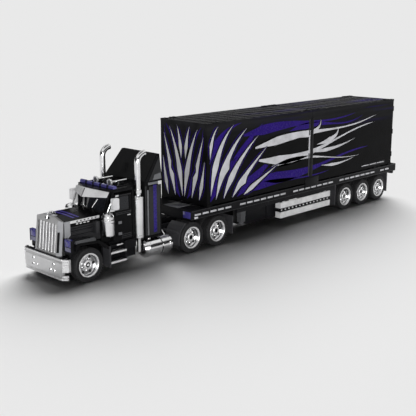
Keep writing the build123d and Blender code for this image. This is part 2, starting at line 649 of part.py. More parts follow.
def headlamp():
    x = FRONT_AXLE_X + FENDER_FRONT
    shell = block((x, x + LAMP_DEPTH), (LAMP_INNER, LAMP_OUTER), (LAMP_BOTTOM, LAMP_TOP))
    return chamfer(shell.faces().sort_by(Axis.X)[-1].edges(), LAMP_DEPTH / 5)


def air_cleaner():
    """An upright canister with a clamp band and a domed cap, on a bracket from the door post."""
    x = FIREWALL_X - AIR_CLEANER_SETBACK
    rim = AIR_CLEANER_RADIUS - AIR_EDGE
    band = AIR_CLEANER_RADIUS + AIR_BAND
    low, high = AIR_BAND_Z
    can = turned_z([(0, AIR_CLEANER_BOTTOM), (rim, AIR_CLEANER_BOTTOM),
                    (AIR_CLEANER_RADIUS, AIR_CLEANER_BOTTOM + AIR_EDGE), (AIR_CLEANER_RADIUS, low),
                    (band, low), (band, high), (AIR_CLEANER_RADIUS, high),
                    (AIR_CLEANER_RADIUS, AIR_CLEANER_TOP - AIR_CAP),
                    (rim, AIR_CLEANER_TOP), (0, AIR_CLEANER_TOP + AIR_CAP)])
    post_face = FIREWALL_X - COWL_LENGTH
    middle = (AIR_CLEANER_BOTTOM + AIR_CLEANER_TOP) / 2
    bracket = block((post_face, x), (AIR_CLEANER_Y - AIR_CAP, CAB_HALF), (middle - AIR_CAP, middle + AIR_CAP))
    return Pos(x, AIR_CLEANER_Y, 0) * can + bracket


# Cab

def cab_tub():
    """The floor plate and the rear wall with its door posts."""
    floor = block((CAB_REAR_X, FIREWALL_X - CAB_WALL), (-COWL_HALF, COWL_HALF), (RAIL_TOP, CAB_FLOOR_TOP))
    sill = block((CAB_REAR_X, DOOR_FRONT_X), (COWL_HALF, CAB_HALF - DOOR_WALL - DOOR_GAP),
                 (RAIL_TOP, CAB_FLOOR_TOP))
    back = block((CAB_REAR_X, CAB_REAR_X + CAB_WALL), (-CAB_HALF, CAB_HALF), (RAIL_TOP, ROOF_BOTTOM))
    return floor + both_sides(sill) + back


def cab_cowl():
    """Firewall, cowl sides, front door posts with their hinge lugs, and the leaning windscreen pillars."""
    post_x = (FIREWALL_X - COWL_LENGTH - DOOR_POST, FIREWALL_X - COWL_LENGTH)
    wall = block((FIREWALL_X - CAB_WALL, FIREWALL_X), (-COWL_HALF, COWL_HALF), (RAIL_TOP, COWL_TOP))
    side = block((post_x[0], FIREWALL_X - CAB_WALL), (COWL_HALF - CAB_WALL, COWL_HALF),
                 (CAB_FLOOR_TOP, COWL_TOP))
    top = block((post_x[1], FIREWALL_X), (COWL_HALF - 2 * CAB_WALL, COWL_HALF),
                (COWL_TOP - CAB_WALL, COWL_TOP))
    post = block(post_x, (COWL_HALF - CAB_WALL, CAB_HALF), (CAB_FLOOR_TOP, COWL_TOP))
    deck = block((PILLAR_X - PILLAR_WIDTH, FIREWALL_X), (-COWL_HALF, COWL_HALF),
                 (COWL_TOP - CAB_WALL, COWL_TOP))
    pillar = plan_profile([(PILLAR_X - PILLAR_WIDTH, COWL_HALF), (PILLAR_X, COWL_HALF),
                           (PILLAR_X, COWL_HALF - PILLAR_WIDTH),
                           (PILLAR_X - PILLAR_WIDTH, COWL_HALF - PILLAR_WIDTH)],
                          (COWL_TOP, ROOF_BOTTOM), lean=-SCREEN_RAKE)
    corner = block(post_x, (CAB_HALF - DOOR_WALL, CAB_HALF), (COWL_TOP, ROOF_BOTTOM))
    for middle in DOOR_HINGES_Z:
        z = (middle - HINGE_HEIGHT / 2, middle + HINGE_HEIGHT / 2)
        lug = rod_z(HINGE_X, HINGE_Y, z, DOOR_WALL / 2)
        lug += block((HINGE_X, post_x[0]), (CAB_HALF - DOOR_WALL, CAB_HALF), z)
        post += lug - rod_z(HINGE_X, HINGE_Y, z, DOOR_PIN_RADIUS + RUNNING_FIT)
    return wall + deck + both_sides(side + top + post + pillar + corner)


def windscreen():
    """Two panes that meet in a ridge on the centre plane, leaning back to the roof."""
    edge = COWL_HALF - PILLAR_WIDTH - PANEL_GAP
    edge_x = PILLAR_X - PILLAR_WIDTH + SCREEN_GLASS
    front = [(edge_x, edge), (edge_x + SCREEN_SWEEP + SCREEN_PEAK, 0), (edge_x, -edge)]
    outline = front + [(x - SCREEN_GLASS, y) for x, y in reversed(front)]
    return plan_profile(outline, (COWL_TOP, ROOF_BOTTOM), lean=-SCREEN_RAKE)


def cab_roof():
    outline = [(CAB_REAR_X, ROOF_HALF), (ROOF_CORNER_X, ROOF_HALF), (ROOF_CORNER_X + ROOF_PEAK, 0),
               (ROOF_CORNER_X, -ROOF_HALF), (CAB_REAR_X, -ROOF_HALF)]
    return plan_profile(outline, (ROOF_BOTTOM, ROOF_TOP))


def sun_visor():
    """A peaked blade that hangs forward and down from the roof's front edge."""
    edge_x = ROOF_CORNER_X + ROOF_PEAK * (1 - VISOR_HALF / ROOF_HALF) + PANEL_GAP
    front = [(edge_x, VISOR_HALF), (ROOF_CORNER_X + ROOF_PEAK + PANEL_GAP, 0), (edge_x, -VISOR_HALF)]
    outline = front + [(x + VISOR_WALL, y) for x, y in reversed(front)]
    bottom = ROOF_TOP - VISOR_DROP
    blade = Pos(VISOR_REACH, 0, 0) * plan_profile(outline, (bottom, ROOF_TOP), lean=-VISOR_REACH)
    half = [(0, bottom), (VISOR_HALF, bottom + VISOR_RISE), (VISOR_HALF, ROOF_TOP - VISOR_FALL),
            (0, ROOF_TOP)]
    trim = half + [(-y, z) for y, z in half[-2:0:-1]]
    return blade & front_profile(trim, (ROOF_CORNER_X, BUMPER_X))


def roof_lamps():
    lamps = []
    x = ROOF_CORNER_X - ROOF_LAMP_SETBACK
    for i in (-2, -1, 0, 1, 2):
        left = i * ROOF_LAMP_PITCH + ROOF_LAMP_LENGTH / 2
        lamp = rod_y(x, (left - ROOF_LAMP_LENGTH, left), ROOF_TOP + ROOF_LAMP_RADIUS / 2, ROOF_LAMP_RADIUS)
        lamps.append(lamp - block((x - ROOF_LAMP_LENGTH, x + ROOF_LAMP_LENGTH), (-ROOF_HALF, ROOF_HALF),
                                  (0, ROOF_TOP)))
    return Compound([solid for lamp in lamps for solid in lamp.solids()])


def air_horn():
    """A trumpet along the roof, its bell to the front, on a foot."""
    front = ROOF_CORNER_X - HORN_SETBACK
    z = ROOF_TOP + HORN_BELL_RADIUS
    horn = turned_x([(0, 0), (0, HORN_BELL_RADIUS), (-HORN_PIPE_RADIUS, HORN_BELL_RADIUS),
                     (-HORN_BELL_RADIUS, HORN_PIPE_RADIUS), (-HORN_LENGTH, HORN_PIPE_RADIUS),
                     (-HORN_LENGTH, 0)])
    foot_x = front - HORN_LENGTH / 2
    foot = block((foot_x - HORN_PIPE_RADIUS, foot_x + HORN_PIPE_RADIUS),
                 (HORN_Y - HORN_PIPE_RADIUS, HORN_Y + HORN_PIPE_RADIUS), (ROOF_TOP, z))
    return Pos(front, HORN_Y, z) * horn + foot


def cab_interior():
    """Two seats, the dash across the firewall and the steering wheel on its column."""
    rear = CAB_REAR_X + CAB_WALL
    seat = side_profile([(rear, CAB_FLOOR_TOP), (rear + SEAT_DEPTH, CAB_FLOOR_TOP),
                         (rear + SEAT_DEPTH, CAB_FLOOR_TOP + SEAT_HEIGHT),
                         (rear + SEAT_BACK, CAB_FLOOR_TOP + SEAT_HEIGHT - SEAT_DIP),
                         (rear + SEAT_BACK, CAB_FLOOR_TOP + 2 * SEAT_HEIGHT),
                         (rear, CAB_FLOOR_TOP + 2 * SEAT_HEIGHT)],
                        (SEAT_Y - SEAT_WIDTH / 2, SEAT_Y + SEAT_WIDTH / 2))
    front = FIREWALL_X - CAB_WALL
    dash = block((front - DASH_DEPTH, front), (CAB_WALL - COWL_HALF, COWL_HALF - CAB_WALL),
                 (DASH_TOP - DASH_HEIGHT, DASH_TOP))
    ring = Pos(front - DASH_DEPTH - WHEEL_RING, SEAT_Y, DASH_TOP) * Rot(0, -WHEEL_TILT, 0) * (
        Torus(WHEEL_RING - WHEEL_SECTION, WHEEL_SECTION) + Cylinder(WHEEL_SECTION, 2 * WHEEL_RING,
        rotation=(90, 0, 0)) + Pos(0, 0, -WHEEL_RING / 2) * Cylinder(WHEEL_SECTION, WHEEL_RING))
    return Compound([*both_sides(seat).solids(), *(dash + ring).solids()])


def door():
    """The left door, with its window cut, a round hinge edge, and a pin across a notch for each hinge lug."""
    y = (CAB_HALF - DOOR_WALL, CAB_HALF)
    leaf = block((DOOR_REAR_X, HINGE_X), y, (DOOR_BOTTOM, DOOR_TOP))
    leaf += rod_z(HINGE_X, HINGE_Y, (DOOR_BOTTOM, DOOR_TOP), DOOR_WALL / 2)
    leaf -= block((DOOR_REAR_X + WINDOW_BORDER, DOOR_FRONT_X - WINDOW_BORDER), y,
                  (WINDOW_BOTTOM, DOOR_TOP - WINDOW_BORDER))
    for middle in DOOR_HINGES_Z:
        z = (middle - HINGE_HEIGHT / 2 - DOOR_GAP, middle + HINGE_HEIGHT / 2 + DOOR_GAP)
        leaf -= block((DOOR_FRONT_X - DOOR_WALL - HINGE_NOTCH, DOOR_FRONT_X), y, z)
        leaf += rod_z(HINGE_X, HINGE_Y, z, DOOR_PIN_RADIUS)
    return leaf


def door_glass():
    middle = CAB_HALF - DOOR_WALL / 2
    return block((DOOR_REAR_X + WINDOW_BORDER + PANEL_GAP, DOOR_FRONT_X - WINDOW_BORDER - PANEL_GAP),
                 (middle - WINDOW_GLASS / 2, middle + WINDOW_GLASS / 2),
                 (WINDOW_BOTTOM + PANEL_GAP, DOOR_TOP - WINDOW_BORDER - PANEL_GAP))


def door_mirror():
    """A tall mirror head on an arm from the front door post."""
    length, depth, height = MIRROR_SIZE
    x = (DOOR_FRONT_X - MIRROR_SETBACK, DOOR_FRONT_X - MIRROR_SETBACK + length)
    head = block(x, (MIRROR_Y, MIRROR_Y + depth), (MIRROR_BOTTOM, MIRROR_BOTTOM + height))
    head = fillet(head.edges().filter_by(Axis.Y), depth / 3)
    top = MIRROR_BOTTOM + height
    post = (FIREWALL_X - COWL_LENGTH - DOOR_POST, FIREWALL_X - COWL_LENGTH)
    arm = block(post, (CAB_HALF, MIRROR_Y), (top - 2 * WINDOW_BORDER, top - WINDOW_BORDER))
    return head + arm


# Sleeper, stacks, tanks and steps

def sleeper():
    """The closed sleeping compartment and the neck that joins it to the cab."""
    body = block((SLEEPER_REAR_X, SLEEPER_FRONT_X), (-SLEEPER_HALF, SLEEPER_HALF), (RAIL_TOP, SLEEPER_TOP))
    skirt = block((SLEEPER_REAR_X, SLEEPER_FRONT_X), (RAIL_OUTER, SLEEPER_HALF), (SLEEPER_BOTTOM, RAIL_TOP))
    neck = block((SLEEPER_FRONT_X, CAB_REAR_X), (-NECK_HALF, NECK_HALF), (RAIL_TOP, ROOF_TOP))
    arch = rod_y(DRIVE_AXLES_X[0], (-SLEEPER_HALF, SLEEPER_HALF), AXLE_Z,
                 ARC_GUARD_RADIUS + ARC_GUARD_WALL + SLEEPER_ARCH)
    return body + both_sides(skirt) + neck - arch


def roof_fairing():
    """A wind deflector on the sleeper: a sloping front with side walls, open behind."""
    rear = SLEEPER_REAR_X - FAIRING_TOP_LENGTH / 2
    rise = FAIRING_TOP - SLEEPER_TOP

    def wedge(inset):
        front = SLEEPER_FRONT_X - 2 * inset
        top = FAIRING_TOP - inset
        profile = [(rear, SLEEPER_TOP), (front, SLEEPER_TOP), (front, SLEEPER_TOP + FAIRING_WALL - inset),
                   (rear + FAIRING_TOP_LENGTH - inset, top), (rear, top)]
        body = side_profile(profile, (-SLEEPER_HALF, SLEEPER_HALF))
        low, high = SLEEPER_HALF - inset, FAIRING_TOP_HALF - inset
        section = [(low, SLEEPER_TOP), (high, SLEEPER_TOP + rise), (-high, SLEEPER_TOP + rise),
                   (-low, SLEEPER_TOP)]
        return body & front_profile(section, (rear, SLEEPER_FRONT_X))

    return wedge(0.0) - wedge(FAIRING_WALL)


def exhaust_stack():
    """A muffler with a foot pipe, a tall pipe with a clamp ring and a mouth bent to the rear, clipped on."""
    x = (SLEEPER_FRONT_X + CAB_REAR_X) / 2
    low, high = STACK_MUFFLER
    taper = STACK_TAPER
    ring = STACK_PIPE_RADIUS + STACK_RING
    stack = turned_z([(0, STACK_FOOT_Z), (STACK_FOOT_RADIUS, STACK_FOOT_Z), (STACK_FOOT_RADIUS, low),
                      (STACK_MUFFLER_RADIUS, low + taper), (STACK_MUFFLER_RADIUS, high - taper),
                      (STACK_PIPE_RADIUS, high), (STACK_PIPE_RADIUS, STACK_RING_Z[0]), (ring, STACK_RING_Z[0]),
                      (ring, STACK_RING_Z[1]), (STACK_PIPE_RADIUS, STACK_RING_Z[1]),
                      (STACK_PIPE_RADIUS, STACK_BEND_Z), (0, STACK_BEND_Z)])
    section = Pos(0, 0, STACK_BEND_Z) * Circle(STACK_PIPE_RADIUS)
    bend_axis = Axis((-STACK_BEND_RADIUS, 0, STACK_BEND_Z), (0, -1, 0))
    stack += revolve(section, axis=bend_axis, revolution_arc=STACK_BEND_ANGLE)
    clip = block((SLEEPER_FRONT_X, x), (STACK_Y - taper, STACK_Y + taper),
                 (high - 5 * taper, high - 3 * taper))
    return Pos(x, STACK_Y, 0) * stack + clip


def fuel_tank():
    """A round tank along the frame, in two sections, domed at both ends, on two brackets from the rail."""
    front = SLEEPER_FRONT_X + TANK_DOME / 2
    rear = DRIVE_AXLES_X[0] + ARC_GUARD_RADIUS + ARC_GUARD_WALL + TANK_CLEARANCE
    seam = rear + TANK_SEAM_AT * (front - rear)
    tank = turned_x([(front, 0), (front, TANK_RADIUS - TANK_DOME), (front - TANK_DOME, TANK_RADIUS),
                     (seam + TANK_SEAM / 2, TANK_RADIUS), (seam + TANK_SEAM / 2, TANK_RADIUS - TANK_SEAM),
                     (seam - TANK_SEAM / 2, TANK_RADIUS - TANK_SEAM), (seam - TANK_SEAM / 2, TANK_RADIUS),
                     (rear + TANK_DOME, TANK_RADIUS), (rear, TANK_RADIUS - TANK_DOME), (rear, 0)])
    tank = Pos(0, TANK_Y, TANK_Z) * tank
    for x in (front - 3 * TANK_DOME, rear + 3 * TANK_DOME):
        tank += block((x - TANK_DOME / 2, x + TANK_DOME / 2), (RAIL_OUTER, TANK_Y),
                      (RAIL_BOTTOM, RAIL_BOTTOM + TANK_DOME))
    return tank


def side_step():
    """Two treads between end plates, and the box behind them, under the cab floor."""
    front = FRONT_AXLE_X - FENDER_REAR - FLAP_THICKNESS - STEP_CLEARANCE
    rear = front - STEP_LENGTH
    y = (STEP_INNER, STEP_OUTER)
    step = block((CAB_REAR_X, rear + STEP_THICKNESS),
                 (STEP_INNER - 2 * STEP_THICKNESS, STEP_OUTER - DOOR_WALL), (RAIL_BOTTOM, RAIL_TOP))
    step += block((CAB_REAR_X, front), (RAIL_OUTER, STEP_INNER), (RAIL_TOP - STEP_THICKNESS, RAIL_TOP))
    for x in (rear, front - STEP_THICKNESS):
        step += block((x, x + STEP_THICKNESS), y, (STEP_TREADS_Z[0], RAIL_TOP))
    for z in STEP_TREADS_Z:
        step += block((rear, front), y, (z, z + STEP_THICKNESS))
    return step


def mudflaps():
    """The left flaps: behind the front wheel, in an arc before the first drive wheel, behind the last one."""
    x = FRONT_AXLE_X - FENDER_REAR
    front = block((x - FLAP_THICKNESS, x), (WHEEL_INNER_Y, FENDER_OUTER), (FLAP_BOTTOM, RAIL_TOP))
    centre = DRIVE_AXLES_X[0]
    low, high = ARC_GUARD_SPAN
    steps = [radians(low + (high - low) * i / ARC_GUARD_STEPS) for i in range(ARC_GUARD_STEPS + 1)]
    inner = [(centre + ARC_GUARD_RADIUS * cos(a), AXLE_Z + ARC_GUARD_RADIUS * sin(a)) for a in steps]
    reach = ARC_GUARD_RADIUS + ARC_GUARD_WALL
    rim = [(centre + reach * cos(a), AXLE_Z + reach * sin(a)) for a in reversed(steps)]
    arc = side_profile(inner + rim, (TWIN_INNER_Y + FLAP_INSET, TRACK_HALF))
    tilt = radians(ARC_STAY_ANGLE)
    arc += rod_y(centre + reach * cos(tilt), (RAIL_OUTER, TRACK_HALF - 2 * FLAP_INSET),
                 AXLE_Z + reach * sin(tilt), ARC_GUARD_WALL)
    x = DRIVE_AXLES_X[1] - RAIL_REAR_OVERHANG
    top = RAIL_TOP - FLAP_INSET
    outer = TRACK_HALF - FLAP_INSET
    rear = block((x, x + FLAP_THICKNESS), (RAIL_OUTER + FLAP_STAND, outer), (FLAP_BOTTOM, top))
    rear += block((x, x + FLAP_THICKNESS), (RAIL_OUTER, outer), (top - FLAP_ARM, top))
    return front, arc, rear


# Trailer

def trailer_neck():
    """The coupling end: a shallow box from the nose to the swan neck, and the kingpin seated in its floor."""
    neck = both_sides(block((SWAN_NECK_X, NOSE_X), (RAIL_INNER, RAIL_OUTER), (TRAILER_BOTTOM, DECK_TOP)))
    inner = TRAILER_HALF - SIDE_RAIL_WIDTH
    for x, z in [((SWAN_NECK_X, NOSE_X), (TRAILER_BOTTOM, TRAILER_BOTTOM + DECK_PLATE)),
                 ((BOX_FRONT_X, NOSE_X), (DECK_TOP - DECK_PLATE, DECK_TOP)),
                 ((NOSE_X - DECK_PLATE, NOSE_X), (TRAILER_BOTTOM, DECK_TOP))]:
        neck += block(x, (-inner, inner), z)
    floor_z = (TRAILER_BOTTOM, TRAILER_BOTTOM + DECK_PLATE)
    neck -= rod_z(KINGPIN_X, 0, floor_z, TRAILER_PIN_RADIUS + RUNNING_FIT)
    pin = rod_z(KINGPIN_X, 0, (TRAILER_BOTTOM - TRAILER_PIN_LENGTH, floor_z[1]), TRAILER_PIN_RADIUS)
    return Compound([neck.solid(), pin.solid()])


def trailer_frame():
    """Two deep main beams behind the swan neck, cross members that carry skirts, and a bored tail beam."""
    frame = both_sides(block((TAIL_X, SWAN_NECK_X), (RAIL_INNER, RAIL_OUTER), (TRAILER_RAIL_DROP, DECK_TOP)))
    inner = TRAILER_HALF - SIDE_RAIL_WIDTH
    skirt_end = TRAILER_AXLES_X[0] + TYRE_RADIUS + SKIRT_CLEARANCE
    frame += both_sides(block((skirt_end, SWAN_NECK_X), (inner, TRAILER_HALF),
                              (TRAILER_RAIL_DROP, TRAILER_BOTTOM)))
    first = KINGPIN_X - LEG_SETBACK - LEG_SIZE / 2 - LEG_CLEARANCE - CROSS_WIDTH
    count = 1 + int((first - TAIL_X - TAIL_BEAM) // TRAILER_CROSS_PITCH)
    for i in range(count):
        x = first - i * TRAILER_CROSS_PITCH
        bottom = TRAILER_RAIL_DROP if x > skirt_end else DECK_TOP - CROSS_HEIGHT
        frame += block((x, x + CROSS_WIDTH), (-inner, inner), (bottom, DECK_TOP))
    frame += block((TAIL_X, TAIL_X + TAIL_BEAM), (-inner, inner), (TRAILER_RAIL_DROP, DECK_TOP))
    frame -= rod_x((TAIL_X, TAIL_X + TAIL_BEAM), 0, (TRAILER_RAIL_DROP + DECK_TOP) / 2, TAIL_BORE_RADIUS)
    return frame


def trailer_bogie():
    """The axles' sub-frame: a beam under each main beam with a bored hanger for each axle, tied across."""
    ends = (TRAILER_AXLES_X[-1] - BOGIE_OVERHANG, TRAILER_AXLES_X[0] + BOGIE_OVERHANG)
    bogie = both_sides(block(ends, (RAIL_INNER, RAIL_OUTER), (BOGIE_BOTTOM, TRAILER_RAIL_DROP)))
    for x in (ends[0], ends[1] - CROSS_WIDTH):
        bogie += block((x, x + CROSS_WIDTH), (-RAIL_INNER, RAIL_INNER),
                       (BOGIE_BOTTOM, BOGIE_BOTTOM + CROSS_HEIGHT))
    for hanger in hangers(TRAILER_AXLES_X, BOGIE_BOTTOM):
        bogie += hanger
    return bogie


def side_rail():
    """The left outer rail, along the whole deck."""
    return block((TAIL_X, NOSE_X), (TRAILER_HALF - SIDE_RAIL_WIDTH, TRAILER_HALF), (TRAILER_BOTTOM, DECK_TOP))


def landing_leg():
    """A square leg with a smaller inner leg and a foot, hung from a bracket on the main beam."""
    x = KINGPIN_X - LEG_SETBACK
    half = LEG_SIZE / 2
    square = ((x - half, x + half), (LEG_Y - half, LEG_Y + half))
    leg = block(*square, (2 * LEG_BOTTOM - half, DECK_TOP - CROSS_HEIGHT))
    leg += rod_z(x, LEG_Y, (LEG_BOTTOM, 2 * LEG_BOTTOM), half - LEG_WALL)
    leg += block(*square, (LEG_BOTTOM, LEG_BOTTOM + LEG_FOOT))
    bracket_z = TRAILER_RAIL_DROP + LEG_FOOT
    leg += block((x - LEG_BRACKET / 2, x + LEG_BRACKET / 2), (RAIL_OUTER, LEG_Y),
                 (bracket_z, bracket_z + LEG_BRACKET))
    return leg


def side_guard():
    """Two rails on posts below the side rail, their front ends turned in."""
    front = KINGPIN_X - GUARD_START
    rear = TRAILER_AXLES_X[0] + TYRE_RADIUS + GUARD_CLEARANCE
    y = (TRAILER_HALF - GUARD_WALL, TRAILER_HALF)
    guard = None
    for z in GUARD_RAILS_Z:
        rail = block((rear, front), y, (z, z + GUARD_RAIL_HEIGHT))
        rail += block((front - GUARD_WALL, front), (y[0] - 4 * GUARD_WALL, y[1]), (z, z + GUARD_RAIL_HEIGHT))
        guard = rail if guard is None else guard + rail
    for x in (front - 5 * GUARD_WALL, rear + 5 * GUARD_WALL):
        guard += block((x - GUARD_WALL, x + GUARD_WALL), (y[0] - GUARD_WALL, y[0]),
                       (GUARD_RAILS_Z[0], TRAILER_RAIL_DROP))
    return guard


def trailer_flaps():
    """The left flaps before the first and behind the last trailer wheel, hung from the main beam."""
    y = (TWIN_INNER_Y + FLAP_STAND, TRACK_HALF - FLAP_INSET)
    flaps = []
    reach = TYRE_RADIUS + 3 * FLAP_THICKNESS
    for x in (TRAILER_AXLES_X[0] + reach, TRAILER_AXLES_X[-1] - reach):
        plate = block((x - FLAP_THICKNESS / 2, x + FLAP_THICKNESS / 2), y, (FLAP_BOTTOM, TRAILER_BOTTOM))
        arm = block((x - FLAP_THICKNESS / 2, x + FLAP_THICKNESS / 2), (RAIL_OUTER, y[1]),
                    (TRAILER_BOTTOM - FLAP_ARM, TRAILER_BOTTOM))
        flaps.append(plate + arm)
    return flaps


# Load boxes

def castings(front, rear, z):
    """The four corner blocks of one end of a box's height."""
    length, width, _ = CASTING
    proud = CASTING_PROUD
    corner = block((front - length, front), (BOX_HALF - width, BOX_HALF + proud), z)
    corner += block((rear, rear + length), (BOX_HALF - width, BOX_HALF + proud), z)
    return both_sides(corner)


def box_bases():
    """A bottom frame for each box, with the floor raised between its walls."""
    bases = []
    inside = BOX_HALF - BOX_WALL - PANEL_GAP
    for front, rear, rear_room in BOX_SPANS:
        base = block((rear, front), (-BOX_HALF, BOX_HALF), (BOX_BOTTOM, BOX_WALL_BOTTOM))
        base += castings(front, rear, (DECK_TOP, BOX_WALL_BOTTOM))
        base += block((rear + rear_room, front - BOX_WALL - PANEL_GAP), (-inside, inside),
                      (BOX_BOTTOM, BOX_FLOOR_TOP))
        bases.extend(base.solids())
    return Compound(bases)


def box_roofs():
    roofs = []
    for front, rear, _ in BOX_SPANS:
        roof = block((rear, front), (-BOX_HALF, BOX_HALF), (BOX_ROOF_BOTTOM, BOX_TOP))
        roof += castings(front, rear, (BOX_ROOF_BOTTOM, BOX_TOP + CASTING_PROUD))
        roofs.extend(roof.solids())
    return Compound(roofs)


def wall_knuckles():
    """The lower halves of the rear door's hinges, on the left wall's end, each with a pin that stands up."""
    knuckles = []
    for z in BOX_HINGES_Z:
        low = (z - KNUCKLE_HEIGHT, z)
        knuckle = rod_z(BOX_HINGE_X, BOX_HINGE_Y, low, KNUCKLE_RADIUS)
        knuckle += block((BOX_HINGE_X, BOX_REAR_X), (BOX_HINGE_Y - STRAP_HALF, BOX_HINGE_Y + STRAP_HALF), low)
        knuckles.append(knuckle + rod_z(BOX_HINGE_X, BOX_HINGE_Y, (z, z + KNUCKLE_HEIGHT), KNUCKLE_PIN))
    return knuckles


def box_side_walls():
    walls = []
    for front, rear, _ in BOX_SPANS:
        wall = block((rear, front), (BOX_HALF - BOX_WALL, BOX_HALF), (BOX_WALL_BOTTOM, BOX_ROOF_BOTTOM))
        if rear == BOX_REAR_X:
            wall = wall + wall_knuckles()
        walls.extend(both_sides(wall).solids())
    return Compound(walls)


def box_end_walls():
    """The closed ends: both ends of the front box and the front of the rear box."""
    inside = BOX_HALF - BOX_WALL
    (front_1, rear_1, _), (front_2, _, _) = BOX_SPANS
    ends = [(front_1 - BOX_WALL, front_1), (rear_1, rear_1 + BOX_WALL), (front_2 - BOX_WALL, front_2)]
    return Compound([block(x, (-inside, inside), (BOX_WALL_BOTTOM, BOX_ROOF_BOTTOM)).solid() for x in ends])


def box_door():
    """The left leaf of the rear doors, with a strap and an eye over each hinge pin."""
    outer = BOX_HALF - BOX_WALL - DOOR_GAP
    leaf = block((BOX_REAR_X, BOX_REAR_X + DOOR_LEAF), (DOOR_GAP / 2, outer),
                 (BOX_WALL_BOTTOM + DOOR_GAP, BOX_ROOF_BOTTOM - DOOR_GAP))
    for middle in BOX_HINGES_Z:
        z = (middle + TURN_GAP, middle + KNUCKLE_HEIGHT)
        inner = outer - STRAP_LENGTH
        strap = block((BOX_HINGE_X - STRAP_HALF, BOX_HINGE_X + STRAP_HALF), (inner, BOX_HINGE_Y), z)
        strap += block((BOX_HINGE_X - STRAP_HALF, BOX_REAR_X), (inner, outer - STRAP_HALF), z)
        strap += rod_z(BOX_HINGE_X, BOX_HINGE_Y, z, KNUCKLE_RADIUS)
        leaf += strap - rod_z(BOX_HINGE_X, BOX_HINGE_Y, z, KNUCKLE_PIN + RUNNING_FIT)
    return leaf


def pair_of(part):
    """A left piece and its mirror image as solids of one node."""
    return Compound([*part.solids(), *mirrored(part).solids()])


# Nodes

flaps = mudflaps()
NODES = {
    "tractor_frame": tractor_frame(),
    "front_axle": front_axle(),
    "fifth_wheel": fifth_wheel(),
    "bumper": bumper(),
    "grille": grille(),
    "engine_housing": engine_housing(),
    "hood": hood(),
    "fenders": pair_of(fender()),
    "headlamps": pair_of(headlamp()),
    "air_cleaners": pair_of(air_cleaner()),
    "cab_tub": cab_tub(),
    "cab_cowl": cab_cowl(),
    "windscreen": windscreen(),
    "cab_roof": cab_roof(),
    "sun_visor": sun_visor(),
    "roof_lamps": roof_lamps(),
    "air_horns": pair_of(air_horn()),
    "cab_interior": cab_interior(),
    "door_left": door(),
    "door_right": mirrored(door()),
    "door_glass_left": door_glass(),
    "door_glass_right": mirrored(door_glass()),
    "mirror_left": door_mirror(),
    "mirror_right": mirrored(door_mirror()),
    "sleeper": sleeper(),
    "roof_fairing": roof_fairing(),
    "exhaust_stacks": pair_of(exhaust_stack()),
    "fuel_tanks": pair_of(fuel_tank()),
    "side_steps": pair_of(side_step()),
    "mudflaps": Compound([solid for flap in flaps for solid in pair_of(flap).solids()]),
    "knuckle_left": knuckle(),
    "knuckle_right": mirrored(knuckle()),
    "tie_rod": tie_rod(),
    "front_rim_left": Pos(FRONT_AXLE_X, 0, AXLE_Z) * front_rim(),
    "front_rim_right": Pos(FRONT_AXLE_X, 0, AXLE_Z) * mirrored(front_rim()),
    "front_tyre_left": Pos(FRONT_AXLE_X, 0, AXLE_Z) * tyre(WHEEL_INNER_Y),
    "front_tyre_right": Pos(FRONT_AXLE_X, 0, AXLE_Z) * mirrored(tyre(WHEEL_INNER_Y)),
    "trailer_neck": trailer_neck(),
    "trailer_frame": trailer_frame(),
    "trailer_bogie": trailer_bogie(),
    "side_rails": pair_of(side_rail()),
    "landing_legs": pair_of(landing_leg()),
    "side_guards": pair_of(side_guard()),
    "trailer_flaps": Compound([solid for flap in trailer_flaps() for solid in pair_of(flap).solids()]),
    "box_bases": box_bases(),
    "box_roofs": box_roofs(),
    "box_side_walls": box_side_walls(),
    "box_end_walls": box_end_walls(),
    "box_door_left": box_door(),
    "box_door_right": mirrored(box_door()),
}
for number, axle_x in enumerate(DRIVE_AXLES_X, start=1):
    NODES[f"drive_axle_{number}"] = twin_axle(axle_x)
    NODES[f"drive_tyres_{number}"] = twin_tyres(axle_x)
for number, axle_x in enumerate(TRAILER_AXLES_X, start=1):
    NODES[f"trailer_axle_{number}"] = twin_axle(axle_x)
    NODES[f"trailer_tyres_{number}"] = twin_tyres(axle_x)

os.makedirs("parts", exist_ok=True)
for name, shape in NODES.items():
    export_step(shape, f"parts/{name}.step")
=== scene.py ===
"""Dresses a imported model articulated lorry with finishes, tyres, trim, printed panels and a studio stage."""

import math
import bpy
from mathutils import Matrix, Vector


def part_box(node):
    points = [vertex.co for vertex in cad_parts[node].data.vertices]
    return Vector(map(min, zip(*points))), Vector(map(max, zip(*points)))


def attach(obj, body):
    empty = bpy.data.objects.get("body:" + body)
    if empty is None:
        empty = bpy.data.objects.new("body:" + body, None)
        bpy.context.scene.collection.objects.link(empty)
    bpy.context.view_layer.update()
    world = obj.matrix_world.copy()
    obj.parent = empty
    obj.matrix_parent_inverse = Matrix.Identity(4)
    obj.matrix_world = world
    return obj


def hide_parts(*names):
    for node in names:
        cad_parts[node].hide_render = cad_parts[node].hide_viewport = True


bl_info = {
    "name": "Model Lorry Dress",
    "version": (1, 0, 0),
    "blender": (4, 5, 0),
    "location": "3D Viewport > Sidebar > Lorry",
    "description": "Finishes, tyres, trim, printed panels and a studio stage for a model articulated lorry",
    "category": "Object",
}

import bpy
from bpy.props import FloatProperty, FloatVectorProperty, IntProperty, PointerProperty
from bpy.types import Operator, Panel, PropertyGroup
from mathutils import Matrix, Vector

